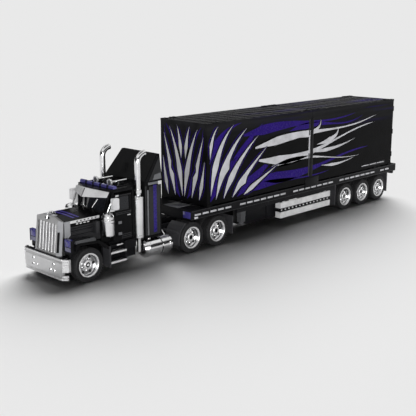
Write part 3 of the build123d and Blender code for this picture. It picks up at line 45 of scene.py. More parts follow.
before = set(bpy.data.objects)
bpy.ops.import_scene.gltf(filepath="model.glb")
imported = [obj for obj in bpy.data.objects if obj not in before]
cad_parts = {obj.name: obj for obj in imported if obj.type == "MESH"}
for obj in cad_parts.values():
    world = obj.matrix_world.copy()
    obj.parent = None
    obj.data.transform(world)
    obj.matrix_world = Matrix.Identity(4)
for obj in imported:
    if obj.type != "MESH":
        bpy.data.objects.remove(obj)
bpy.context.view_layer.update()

MM = 0.001
MIRROR = Matrix.Scale(-1, 4, (0, 1, 0))
ALONG = {
    "X": Matrix(((0, 0, 1, 0), (1, 0, 0, 0), (0, 1, 0, 0), (0, 0, 0, 1))),
    "Y": Matrix(((0, 1, 0, 0), (0, 0, 1, 0), (1, 0, 0, 0), (0, 0, 0, 1))),
    "Z": Matrix.Identity(4),
}
FACING = {**ALONG, "Y": Matrix(((1, 0, 0, 0), (0, 0, -1, 0), (0, 1, 0, 0), (0, 0, 0, 1)))}
WELD = 0.001 * MM
SOFTEN_SHARE = 0.3
SMOOTH_ANGLE = 32
AXLES = ["drive_axle_1", "drive_axle_2", "trailer_axle_1", "trailer_axle_2", "trailer_axle_3"]
OUTER_ROW, INNER_ROW = 56.25, 34.75
TYRES = [(f"front_tyre_{side}", f"front_wheel_{side}", (y,))
         for side, y in (("left", OUTER_ROW), ("right", -OUTER_ROW))]
TYRES += [(axle.replace("axle", "tyres"), axle, (OUTER_ROW, INNER_ROW, -INNER_ROW, -OUTER_ROW))
          for axle in AXLES]
FINISHES = {}


def cad(node):
    """A CAD node's lowest and highest corners, in millimetres."""
    return [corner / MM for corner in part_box(node)]


def centre_of(node):
    low, high = cad(node)
    return (low + high) / 2


def screen(*values):
    """A screen colour of 0 to 255 as the linear colour that a shader takes."""
    return tuple(v / 255 / 12.92 if v <= 10 else ((v / 255 + 0.055) / 1.055) ** 2.4 for v in values)


def colour(name, note, *values):
    return FloatVectorProperty(name=name, description=note, subtype="COLOR", size=3, min=0.0, max=1.0,
                               default=screen(*values))


def length(name, note, millimetres):
    return FloatProperty(name=name, description=note, unit="LENGTH", min=0.0, default=millimetres * MM)


class LorryColours(PropertyGroup):
    """The colours of the lorry's mouldings, plating and print."""
    gloss_black: colour("Gloss black", "Body plastic of the cab, hood and sleeper", 16, 16, 17)
    satin_black: colour("Satin black", "Plastic of the frames and brackets", 20, 20, 22)
    dark_grey: colour("Dark grey", "Plastic of the inner parts, flaps and panels", 40, 40, 42)
    mid_grey: colour("Mid grey", "Plastic of the small panels", 104, 105, 108)
    pale_grey: colour("Pale grey", "Plastic of the grille's surround", 148, 149, 152)
    silver: colour("Silver", "Pale plastic of the visor, mirrors and treads", 206, 206, 207)
    plating: colour("Plating", "Bright plating of the bumper, wheels, stacks and tanks", 232, 232, 233)
    violet: colour("Violet", "Violet plastic of the stripes", 43, 34, 106)
    lens: colour("Violet lens", "Clear violet plastic of the lamps", 58, 54, 120)
    rubber: colour("Rubber", "Tyre rubber", 30, 30, 31)
    panel: colour("Panel black", "Printed side panels", 13, 13, 14)
    panel_top: colour("Panel grey", "Tone that the panels fade to near the roof", 34, 34, 36)
    violet_print: colour("Violet print", "Violet flames and thorns", 32, 9, 100)
    silver_print: colour("Silver print", "Silver flames and thorns", 184, 184, 188)
    floor: colour("Floor", "Studio floor and backdrop", 233, 233, 233)


class LorrySizes(PropertyGroup):
    """The sizes of the small detail that the solids leave out."""
    soften: length("Edge softening", "Bevel along the edges of the trim", 0.3)
    lug_depth: length("Lug depth", "Height of the shoulder lugs of a tyre", 1.5)
    lugs: IntProperty(name="Lugs", description="Shoulder lugs round each side of a tyre", default=42, min=12,
                      max=80)
    dash: length("Dash length", "Length of one reflective dash on the side rails", 17.0)
    dash_pitch: length("Dash pitch", "Distance between reflective dashes", 22.0)
    print_lift: length("Print lift", "Thickness of one layer of print", 0.12)


# Shaping

def clear():
    """Leaves nothing selected."""
    bpy.ops.object.select_all(action="DESELECT")


def pick(*pieces):
    """Selects these pieces alone, the first of them active."""
    clear()
    for piece in pieces:
        piece.select_set(True)
    bpy.context.view_layer.objects.active = pieces[0]


def settle(piece, matrix):
    """Turns and moves a piece, and leaves its place in its mesh."""
    pick(piece)
    piece.matrix_world = matrix @ piece.matrix_world
    bpy.ops.object.transform_apply()
    return piece


def moved(*step):
    return Matrix.Translation(Vector(step) * MM)


def about(axis, degrees, centre):
    """A turn about an axis through a centre in millimetres."""
    return moved(*centre) @ Matrix.Rotation(math.radians(degrees), 4, axis) @ moved(*(-Vector(centre)))


def copied(piece, matrix):
    """A copy with its own mesh, turned or moved."""
    pick(piece)
    bpy.ops.object.duplicate()
    return settle(bpy.context.object, matrix)


def both(pieces):
    """Left pieces with their right-hand copies."""
    return pieces + [copied(piece, MIRROR) for piece in pieces]


def circle_of(piece, count, axis, centre):
    """A piece and its copies, evenly round an axis."""
    return [piece] + [copied(piece, about(axis, 360 * i / count, centre)) for i in range(1, count)]


def edit():
    """Enters edit mode with the whole mesh selected."""
    bpy.ops.object.mode_set(mode="EDIT")
    bpy.ops.mesh.select_all(action="SELECT")


def mend():
    """Welds the points that meet, turns the faces outwards and leaves edit mode."""
    bpy.ops.mesh.select_all(action="SELECT")
    bpy.ops.mesh.remove_doubles(threshold=WELD)
    bpy.ops.mesh.normals_make_consistent(inside=False)
    bpy.ops.object.mode_set(mode="OBJECT")


def block(x0, x1, y0, y1, z0, z1):
    """A moulded block between two corners, its edges softened."""
    clear()
    spans = ((x0, x1), (y0, y1), (z0, z1))
    size = [abs(high - low) for low, high in spans]
    bpy.ops.mesh.primitive_cube_add(size=MM, location=[sum(span) / 2 * MM for span in spans], scale=size)
    bpy.ops.object.transform_apply()
    soften = bpy.context.scene.lorry_sizes.soften / MM
    edit()
    bpy.ops.mesh.bevel(offset=min(soften, SOFTEN_SHARE * min(size)) * MM, segments=2, affect="EDGES")
    bpy.ops.object.mode_set(mode="OBJECT")
    return bpy.context.object


def turned(axis, centre, profile, steps=32, closed=False):
    """A round piece: a circle drawn out and scaled through (along, radius) steps about an axis."""
    clear()
    along, radius = profile[0]
    bpy.ops.mesh.primitive_circle_add(vertices=steps, radius=radius * MM, location=(0, 0, along * MM),
                                      fill_type="NOTHING" if closed else "NGON")
    bpy.ops.object.transform_apply()
    draw = bpy.ops.mesh.extrude_edges_move if closed else bpy.ops.mesh.extrude_region_move
    edit()
    for next_along, next_radius in profile[1:] + ([profile[0]] if closed else []):
        draw(TRANSFORM_OT_translate={"value": (0, 0, (next_along - along) * MM)})
        scale = next_radius / radius
        bpy.ops.transform.resize(value=(scale, scale, 1), center_override=(0, 0, next_along * MM))
        along, radius = next_along, next_radius
    mend()
    return settle(bpy.context.object, moved(*centre) @ ALONG[axis])


def hoop(axis, centre, start, width, inner, outer, slope=0):
    """A band round an axis, its sides upright or sloped."""
    end = start + width
    profile = [(start, inner), (start + slope, outer), (end - slope, outer), (end, inner)]
    return turned(axis, centre, profile, closed=True)


def rod(start, end, radius, steps=16):
    """A straight round bar between two points, its ends rounded over."""
    start, end = Vector(start), Vector(end)
    run = end - start
    edge = min(radius * 0.35, run.length * 0.2)
    bar = turned("Z", (0, 0, 0), [(0, radius - edge), (edge, radius), (run.length - edge, radius),
                                  (run.length, radius - edge)], steps)
    turn = run.to_track_quat("Z", "Y").to_matrix().to_4x4()
    return settle(bar, moved(*start) @ turn)


def slab(axis, outline, low, high):
    """A flat plate cut to an outline and carried between two heights along an axis."""
    curve = bpy.data.curves.new("outline", "CURVE")
    curve.dimensions = "2D"
    curve.fill_mode = "BOTH"
    curve.extrude = (high - low) / 2 * MM
    spline = curve.splines.new("POLY")
    spline.points.add(len(outline) - 1)
    for point, (u, v) in zip(spline.points, outline):
        point.co = (u * MM, v * MM, 0, 1)
    spline.use_cyclic_u = True
    piece = bpy.data.objects.new("outline", curve)
    bpy.context.collection.objects.link(piece)
    pick(piece)
    bpy.ops.object.convert(target="MESH")
    middle = [(low + high) / 2 if name == axis else 0 for name in "XYZ"]
    return settle(bpy.context.object, moved(*middle) @ FACING[axis])


def plate(points, thick, sunk=0.1):
    """A flat plate on corners given in three directions, raised from them along their normal."""
    start = Vector(points[0])
    u = (Vector(points[1]) - start).normalized()
    n = u.cross(Vector(points[2]) - start).normalized()
    v = n.cross(u)
    outline = [(step.dot(u), step.dot(v)) for step in (Vector(point) - start for point in points)]
    basis = Matrix((u, v, n)).transposed().to_4x4()
    return settle(slab("Z", outline, -sunk, thick), moved(*start) @ basis)


def fit(pieces, name, finish, body="tractor", turn=None, stands_for=()):
    """Joins pieces, turned first where asked, to one named part in a finish that rides on a body."""
    if turn is not None:
        pieces = [settle(piece, turn) for piece in pieces]
    pick(*pieces)
    if len(pieces) > 1:
        bpy.ops.object.join()
    part = bpy.context.object
    part.name = part.data.name = name
    material, slot = FINISHES[finish]
    part.data.materials.clear()
    part.data.materials.append(material)
    edit()
    mend()
    bpy.ops.object.shade_smooth_by_angle(angle=math.radians(SMOOTH_ANGLE))
    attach(part, body)
    if stands_for:
        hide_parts(*stands_for)


def pair(pieces, name, finish, body="tractor"):
    """Left pieces and their right-hand copies as one part."""
    fit(both(pieces), name, finish, body)


def trim(rows, body="tractor", paired=True):
    """Parts of softened blocks, from rows of a name, a finish and each block's spans along x, y and z."""
    for name, finish, *spans in rows:
        pieces = [block(*span) for span in spans]
        fit(both(pieces) if paired else pieces, name, finish, body)


def sides():
    """Each side's name and the matrix that takes a left piece there."""
    return ("left", Matrix.Identity(4)), ("right", MIRROR)


# Finishes

GRILLE_LOW, GRILLE_HIGH = 50, 117
GRILLE_FOOT, GRILLE_LEAN = 514.5, 7.5
# The grille's back and groove depths, over which its plating gets painted shade.
GRILLE_BACK = (497, 499.5)
GROOVE_DEPTHS = (1, 3.4)
PANEL_FADE = (196, 252)
WISP_REACH = (-360, 60)
WISP_ROOF = (249, 251.2)
LENS_SPLIT = (67.6, 68.3)


class Graph:
    """A node tree in the making."""

    def __init__(self, owner):
        owner.use_nodes = True
        self.tree = owner.node_tree

    def node(self, kind, *values, settings=None, **inputs):
        """Adds a node; an input, in its order or by its name, is a value or another node's socket."""
        node = self.tree.nodes.new(f"ShaderNode{kind}")
        for key, value in (settings or {}).items():
            setattr(node, key, value)
        for socket, value in zip(node.inputs, values):
            self.plug(socket, value)
        for key, value in inputs.items():
            self.plug(node.inputs[key], value)
        return node

    def plug(self, socket, value):
        if isinstance(value, bpy.types.NodeSocket):
            self.tree.links.new(value, socket)
        elif socket.type == "RGBA":
            socket.default_value = (*value, 1)
        else:
            socket.default_value = value

    def math(self, operation, first, second, clamp=False):
        settings = {"operation": operation, "use_clamp": clamp}
        return self.node("Math", first, second, settings=settings).outputs[0]

    def ramp(self, factor, *stops):
        node = self.node("ValToRGB", factor)
        elements = node.color_ramp.elements
        for element, (position, shade) in zip(elements, (stops[0], stops[-1])):
            element.position, element.color = position, (*shade, 1)
        for position, shade in stops[1:-1]:
            elements.new(position).color = (*shade, 1)
        return node.outputs["Color"]

    def seen(self, *kinds):
        """A factor that is 1 for the rays of these kinds, as a mirror or a window sends them."""
        path = self.node("LightPath").outputs
        total = path[kinds[0]]
        for kind in kinds[1:]:
            total = self.math("MAXIMUM", total, path[kind])
        return total


class Finish(Graph):
    """A procedural finish in the making: its nodes, its shader and the object's own coordinates."""

    def __init__(self, name, sockets):
        self.name = name
        self.material = bpy.data.materials.new(name)
        super().__init__(self.material)
        self.shader = self.tree.nodes["Principled BSDF"]
        self.place = self.node("TexCoord").outputs["Object"]
        for socket, value in sockets.items():
            self.shader.inputs[socket].default_value = value

    def noise(self, scale, detail=3, stretch=(1, 1, 1)):
        where = self.node("Mapping", Vector=self.place, Scale=stretch).outputs["Vector"]
        return self.node("TexNoise", Vector=where, Scale=scale, Detail=detail).outputs[0]

    def spread(self, factor, low, high, start=0.3, end=0.7):
        """A factor drawn from its own range to another one."""
        return self.node("MapRange", factor, start, end, low, high).outputs["Result"]

    def between(self, axis, span, low=0, high=1):
        """A factor that goes from low to high over a span of millimetres along an axis."""
        place = self.node("SeparateXYZ", self.place).outputs[axis]
        return self.spread(place, low, high, span[0] * MM, span[1] * MM)

    def blend(self, factor, first, second):
        node = self.node("Mix", factor, settings={"data_type": "RGBA"})
        self.plug(node.inputs[6], first)
        self.plug(node.inputs[7], second)
        return node.outputs[2]

    def times(self, first, second):
        return self.math("MULTIPLY", first, second, clamp=True)

    def haze(self, base):
        """A base colour, faintly darker in patches."""
        return self.ramp(self.noise(70, 4), (0.3, tone(base, 0.9)), (0.7, base))

    def surface(self, height, depth, soften):
        """Rounds the edges, lays a fine relief over them and returns a mask of the edges."""
        edge = self.node("Bevel", settings={"samples": 4}, Radius=soften * MM).outputs["Normal"]
        relief = self.node("Bump", Height=height, Distance=depth * MM, Normal=edge, Strength=0.6)
        self.plug(self.shader.inputs["Normal"], relief.outputs["Normal"])
        flat = self.node("NewGeometry").outputs["True Normal"]
        dot = self.node("VectorMath", edge, flat, settings={"operation": "DOT_PRODUCT"})
        return self.spread(dot.outputs["Value"], 1, 0, 0.82, 0.995)

    def keep(self, slot, base, smooth, rough, scale, detail=3):
        """Takes a colour and an uneven roughness, and keeps the finish with its slot."""
        self.plug(self.shader.inputs["Base Color"], base)
        self.plug(self.shader.inputs["Roughness"], self.spread(self.noise(scale, detail), smooth, rough))
        FINISHES[self.name] = (self.material, slot)


def tone(base, factor):
    return tuple(min(1.0, v * factor) for v in base)


def moulding(name, slot, base, rough, specular, edge_wear_and_highlight=1.6, grain=0.012, coat=0):
    """Injection-moulded plastic: a faint mottle, uneven gloss, fine grain and rounded edges, paler at the
    edges partly as wear and partly as a painted highlight.
    """
    f = Finish(name, {"Specular IOR Level": specular, "Coat Weight": coat, "Coat Roughness": 0.08})
    edge = f.surface(f.noise(1900, 2), grain, 0.45)
    body = f.ramp(f.noise(46, 4), (0.32, tone(base, 0.86)), (0.68, tone(base, 1.14)))
    # Paler edges: partly wear, partly a painted highlight.
    worn_and_highlit_edges = f.times(edge, f.spread(f.noise(140), 0.25, 1))
    f.keep(slot, f.blend(worn_and_highlit_edges, body, tone(base, edge_wear_and_highlight)), rough - 0.06, rough + 0.08, 260)


def plating(name, slot, base, rough, wave=0.012, metal=1):
    """Bright plating over plastic: a little waviness, faint haze and soft edges."""
    f = Finish(name, {"Metallic": metal})
    f.surface(f.noise(120, 2), wave, 0.4)
    f.keep(slot, f.haze(base), rough * 0.85, rough * 1.2, 300)


def shaded_plating(name, slot, base, rough):
    """Plating with painted shade, darker towards the foot of the grille's grooves, along the grille's lean."""
    f = Finish(name, {"Metallic": 1})
    f.surface(f.noise(120, 2), 0.002, 0.4)
    fronts = [GRILLE_FOOT * MM, (GRILLE_FOOT - GRILLE_LEAN) * MM]
    front = f.between("Z", (GRILLE_LOW, GRILLE_HIGH), *fronts)
    behind = f.math("SUBTRACT", front, f.node("SeparateXYZ", f.place).outputs["X"])
    # Painted shade: the deeper in a groove, the darker the plating.
    deep = f.spread(behind, 0, 0.7, *(depth * MM for depth in GROOVE_DEPTHS))
    shade = f.times(deep, f.between("X", GRILLE_BACK))
    f.keep(slot, f.blend(shade, f.haze(base), tone(base, 0.3)), rough * 0.9, rough * 1.15, 300)


def panel_print(name, slot, colours):
    """A printed panel: black, with a grey fade and fine streaks of grey and violet towards the roof."""
    f = Finish(name, {"Specular IOR Level": 0.03})
    f.surface(f.noise(900, 2), 0.008, 0.5)
    high = f.between("Z", PANEL_FADE)
    grey = f.times(high, f.spread(f.noise(9, 6, (0.5, 5, 9)), 0.35, 1, 0.35, 0.62))
    black = f.ramp(f.noise(30, 4), (0.35, tone(colours.panel, 0.85)), (0.65, tone(colours.panel, 1.2)))
    body = f.blend(grey, black, colours.panel_top)
    wisps = f.times(high, f.spread(f.noise(13, 5, (0.35, 4, 10)), 0, 1, 0.52, 0.66))
    wisps = f.times(wisps, f.between("X", WISP_REACH, 1, 0))
    wisps = f.times(wisps, f.between("Z", WISP_ROOF, 0.45, 1))
    f.keep(slot, f.blend(wisps, body, colours.violet_print), 0.14, 0.22, 200)


def lamp_unit(name, slot, colours):
    """A stacked lamp: a violet lens above a greyer block, split at one height."""
    f = Finish(name, {"Specular IOR Level": 0.35, "Coat Weight": 0.5, "Coat Roughness": 0.06})
    f.surface(f.noise(500, 2), 0.01, 0.4)
    flutes = f.noise(700, 1, (0.1, 1, 0.1))
    upper = f.ramp(flutes, (0.35, tone(colours.lens, 0.7)), (0.65, tone(colours.lens, 1.2)))
    lower = f.ramp(flutes, (0.35, screen(76, 76, 104)), (0.65, screen(98, 98, 126)))
    f.keep(slot, f.blend(f.between("Z", LENS_SPLIT), lower, upper), 0.14, 0.26, 260)


def glazing(name, slot):
    """Smoked clear plastic with faint swirls."""
    f = Finish(name, {"Transmission Weight": 0.55, "IOR": 1.4, "Specular IOR Level": 0.3})
    swirls = f.ramp(f.noise(50), (0.3, screen(30, 32, 36)), (0.7, screen(44, 46, 52)))
    f.keep(slot, swirls, 0.04, 0.12, 300, 2)


NODE_FINISHES = {
    "gloss black": "hood fenders cab_tub cab_cowl cab_roof sleeper door_left door_right roof_fairing",
    "satin black": "tractor_frame front_axle fifth_wheel trailer_frame trailer_bogie side_steps"
                   " side_rails trailer_neck",
    "dark grey": "engine_housing cab_interior knuckle_left knuckle_right tie_rod",
    "slate grey": "landing_legs",
    "flap rubber": "mudflaps trailer_flaps",
    "tyre rubber": " ".join(node for node, body, places in TYRES),
    "silver": "sun_visor mirror_left mirror_right side_guards",
    "satin plating": "bumper front_rim_left front_rim_right",
    "shaded plating": "grille",
    "chrome": " ".join(["air_cleaners air_horns exhaust_stacks fuel_tanks", *AXLES]),
    "lamp lens": "roof_lamps",
    "lamp unit": "headlamps",
    "smoked glass": "windscreen door_glass_left door_glass_right",
    "printed panel": "box_bases box_roofs box_side_walls box_end_walls box_door_left box_door_right",
}


class LORRY_OT_finishes(Operator):
    """Makes the procedural finishes and gives one to every CAD node"""
    bl_idname = "lorry.finishes"
    bl_label = "Finishes"

    def execute(self, context):
        c = context.scene.lorry_colours
        moulding("gloss black", "black_plastic", c.gloss_black, 0.18, 0.05, edge_wear_and_highlight=2.6)
        moulding("satin black", "black_plastic", c.satin_black, 0.36, 0.08, edge_wear_and_highlight=2, grain=0.02)
        moulding("dark grey", "grey_plastic", c.dark_grey, 0.4, 0.2)
        moulding("slate grey", "grey_plastic", tone(c.mid_grey, 0.5), 0.4, 0.25, edge_wear_and_highlight=1.3)
        moulding("mid grey", "grey_plastic", c.mid_grey, 0.38, 0.3, edge_wear_and_highlight=1.25)
        moulding("pale grey", "grey_plastic", c.pale_grey, 0.34, 0.35, edge_wear_and_highlight=1.2)
        moulding("flap rubber", "tyre_rubber", tone(c.dark_grey, 1.6), 0.5, 0.2, grain=0.03)
        # The tyre's much paler edges are painted highlights, such as on the lug tips.
        moulding("tyre rubber", "tyre_rubber", c.rubber, 0.6, 0.2, edge_wear_and_highlight=6, grain=0.03)
        moulding("silver", "silver_plastic", c.silver, 0.3, 0.45, edge_wear_and_highlight=1.15, coat=0.2)
        moulding("violet", "violet_plastic", c.violet, 0.28, 0.2, edge_wear_and_highlight=1.3)
        moulding("lamp lens", "violet_plastic", c.lens, 0.14, 0.45, edge_wear_and_highlight=1.5, coat=0.6)
        moulding("clear lamp", "silver_plastic", screen(214, 214, 220), 0.14, 0.5, edge_wear_and_highlight=1.1, coat=0.6)
        moulding("violet print", "printed_panel", c.violet_print, 0.24, 0.08, edge_wear_and_highlight=1.2, grain=0.006)
        moulding("silver print", "printed_panel", c.silver_print, 0.3, 0.2, edge_wear_and_highlight=1.1, grain=0.006)
        moulding("black print", "printed_panel", tone(c.panel, 0.5), 0.2, 0.04, edge_wear_and_highlight=1.4, grain=0.006)
        plating("chrome", "chrome", c.plating, 0.17)
        plating("satin plating", "chrome", tone(c.plating, 0.8), 0.34, 0.002)
        plating("polished", "chrome", c.plating, 0.24, 0.004, 0.5)
        shaded_plating("shaded plating", "chrome", tone(c.plating, 0.54), 0.4)
        panel_print("printed panel", "printed_panel", c)
        lamp_unit("lamp unit", "violet_plastic", c)
        glazing("smoked glass", "glazing")
        bare = set(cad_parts)
        for finish, names in NODE_FINISHES.items():
            for name in names.split():
                bare.remove(name)
                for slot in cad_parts[name].material_slots:
                    slot.material = FINISHES[finish][0]
        if bare:
            raise RuntimeError(f"these nodes have no finish: {sorted(bare)}")
        return {"FINISHED"}


# Wheels

TYRE_SIDE = [
    (8.85, 21.6), (9.3, 21.9), (9.6, 23.2), (9.55, 25.2), (9.75, 25.7), (9.75, 27), (9.5, 27.4), (9.3, 28.6),
    (8.4, 29.7), (6.1, 30.1), (6, 31.05), (3.2, 31.2), (3.1, 30.3), (2.3, 30.3), (2.2, 31.2)]
LUG_CIRCLE, LUG_TOP = 31, 31.05
LUG_SPAN, LUG_SHARE = (6.3, 9), 0.31
DRUM = [(51.4, 19), (52, 19.4), (52.6, 19.4), (52.8, 9)]
WELL = [(61.4, 4.8), (61.7, 4.8), (61.75, 4.4)]
LIP = [(62.6, 18.8), (65, 19), (65.9, 19.9), (66, 21), (65.6, 21.8), (64.9, 22), (64.6, 20.6)]
RIM_STEP = [(55.8, 17.6), (57.6, 17.8), (58.2, 18.4), (58, 19.4), (55.8, 19.6)]
HUB_RING = [(61.4, 4.4), (62.3, 4.7), (62.8, 5.6), (62.6, 7.6), (61.9, 8.4), (61, 8.6)]
HUB_CAP = [(61.4, 2.5), (62.8, 2.4), (63.3, 1.9), (63.5, 0.9)]
NUT = [(55.8, 1.4), (58.6, 1.4), (59, 0.9)]
NUT_CIRCLE = 11


class LORRY_OT_tyres(Operator):
    """Moulds ribbed tyres with shoulder lugs in place of the plain ones"""
    bl_idname = "lorry.tyres"
    bl_label = "Tyres"

    def execute(self, context):
        s = context.scene.lorry_sizes
        profile = TYRE_SIDE + [(-y, radius) for y, radius in reversed(TYRE_SIDE)]
        carcass = turned("Y", (0, 0, 0), profile, steps=72, closed=True)
        half = LUG_SHARE * 2 * math.pi * LUG_CIRCLE / s.lugs
        lug = block(-half, half, *LUG_SPAN, LUG_TOP - s.lug_depth / MM, LUG_TOP)
        lugs = both(circle_of(lug, s.lugs, "Y", (0, 0, 0)))
        pick(carcass, *lugs)
        bpy.ops.object.join()
        mould = bpy.context.object
        for node, body, places in TYRES:
            middle = centre_of(node)
            tyres = [copied(mould, moved(middle.x, y, middle.z)) for y in places]
            fit(tyres, node.replace("tyre", "treaded_tyre"), "tyre rubber", body, stands_for=[node])
        bpy.data.objects.remove(mould)
        return {"FINISHED"}


class LORRY_OT_wheel_trim(Operator):
    """Adds rim lips, hub rings, nuts and dark brake drums to the wheels"""
    bl_idname = "lorry.wheel_trim"
    bl_label = "Wheel trim"

    def wheel(self, name, body, middle, turn, nuts, capped):
        """One wheel's trim: drum behind the disc, rim lip and step, hub ring and cap, circle of nuts."""
        x, z = middle.x, middle.z
        centre = (x, 0, z)
        drum = [turned("Y", centre, DRUM), turned("Y", centre, WELL, 24)]
        fit(drum, f"{name}_drum", "satin black", body, turn)
        lip = [turned("Y", centre, LIP, 48, closed=True), turned("Y", centre, HUB_RING, closed=True)]
        if capped:
            lip.append(turned("Y", centre, HUB_CAP, 24))
        fit(lip, f"{name}_lip", "polished", body, turn)
        nut = turned("Y", (x, 0, z + NUT_CIRCLE), NUT, 6)
        circle = [turned("Y", centre, RIM_STEP, 48, closed=True)] + circle_of(nut, nuts, "Y", centre)
        fit(circle, f"{name}_nuts", "chrome", body, turn)

    def execute(self, context):
        for side, turn in sides():
            middle = centre_of(f"front_tyre_{side}")
            self.wheel(f"front_{side}", f"front_wheel_{side}", middle, turn, 10, True)
            for body in AXLES:
                self.wheel(f"{body}_{side}", body, centre_of(body), turn, 8, False)
        return {"FINISHED"}


# Tractor

HOOD_TOP, HOOD_FLAT, HOOD_FALL = 117, 15, 7 / 24
FAIRING_LEAN = math.degrees(math.atan2(7.3, 49))
FAIRING_STRIPS = [
    ("fairing_panels", "dark grey", 0.5, (290.5, 158), (322, 158), (291.5, 199), (290.5, 199)),
    ("fairing_edges", "satin black", 0.9, (325, 158), (330.5, 158), (296.4, 201.5), (292.6, 201.5)),
    ("fairing_patches", "mid grey", 0.8, (290.8, 159.5), (312, 159.5), (306, 168.5), (290.8, 170.5))]
STACK = (342.75, 51, 0)
TANK = (0, 48, 28.5)
TANK_SEAM = 0.43
STEP_HEIGHTS = (20, 38)
HOOD_TRIM = [
    ("hood_strips", "silver", (425, 490.6, 39.7, 40.5, 104.6, 109.4)),
    ("hood_strip_slots", "satin black",
     *((x, x + 3.5, 40.4, 40.7, 106, 108) for x in range(432, 480, 8))),
    ("hood_catches", "silver", *((x, x + 4.5, 38.9, 39.9, 101, 103) for x in range(447, 479, 8))),
    ("hood_vents", "satin black", *((428, 489, 39.8, 40.5, z, z + 1.4) for z in (82, 90, 94))),
    ("hood_posts", "dark grey", (432.5, 440, 39.8, 50, 80, 101)),
    ("fender_strips", "dark grey", (458, 490, 42, 52, 74.6, 76.6))]
ROOF_TRIM = [
    ("roof_edges", "satin black", (356, 401, 48.6, 51.2, 147.4, 151)),
    ("roof_ribs", "satin black", *((358, 388, y, y + 2, 152.8, 154.2) for y in (33, 8))),
    ("horn_clamps", "satin black", *((x, x + 4, 17.5, 23.5, 152.8, 157) for x in (352, 371)))]
DOOR_TRIM = [
    ("bright_trim", "silver", (390, 397, 51.8, 53, 139.8, 142.4),
     (363.5, 370, 51.8, 54, 101.6, 103.4)),
    ("hinge_straps", "mid grey", *((384, 391.4, 51.8, 53.2, z, z + 5) for z in (88.4, 67.6))),
    ("panel_ribs", "dark grey", *((361, 384, 51.8, 52.5, z, z + 1.6) for z in (60, 63.4, 66.8)),
     *((361, 396.5, 51.8, 52.6, z, z + 1.6) for z in (105.6, 108.4, 140)))]
STEP_TRIM = [
    ("stack_stays", "satin black", (331.5, 341, 46.5, 55.5, 120.5, 127)),
    ("step_treads", "silver", *((380.5, 416.5, 44.6, 60.5, z + 2.9, z + 3.6) for z in STEP_HEIGHTS),
     *((380.5, 416.5, 59.6, 60.8, z + 0.2, z + 3.6) for z in STEP_HEIGHTS)),
    ("step_grips", "satin black", *((381, 416, y, y + 1.4, z + 3.5, z + 4)
                                    for z in STEP_HEIGHTS for y in (46, 49.2, 52.4, 55.6))),
    # A dark plate behind the steps stands in for the shade under the cab.
    ("step_shade_backs", "satin black", (381, 423.5, 40.4, 42, 20.5, 56)),
    ("battery_boxes", "satin black", (342, 378, 19.5, 39.5, 18, 48)),
    ("sill_bars", "satin black", (378, 410, 51.6, 54.4, 49.6, 52.4)),
    ("sill_tips", "silver", (384, 398, 54.2, 55, 49.9, 52.1))]


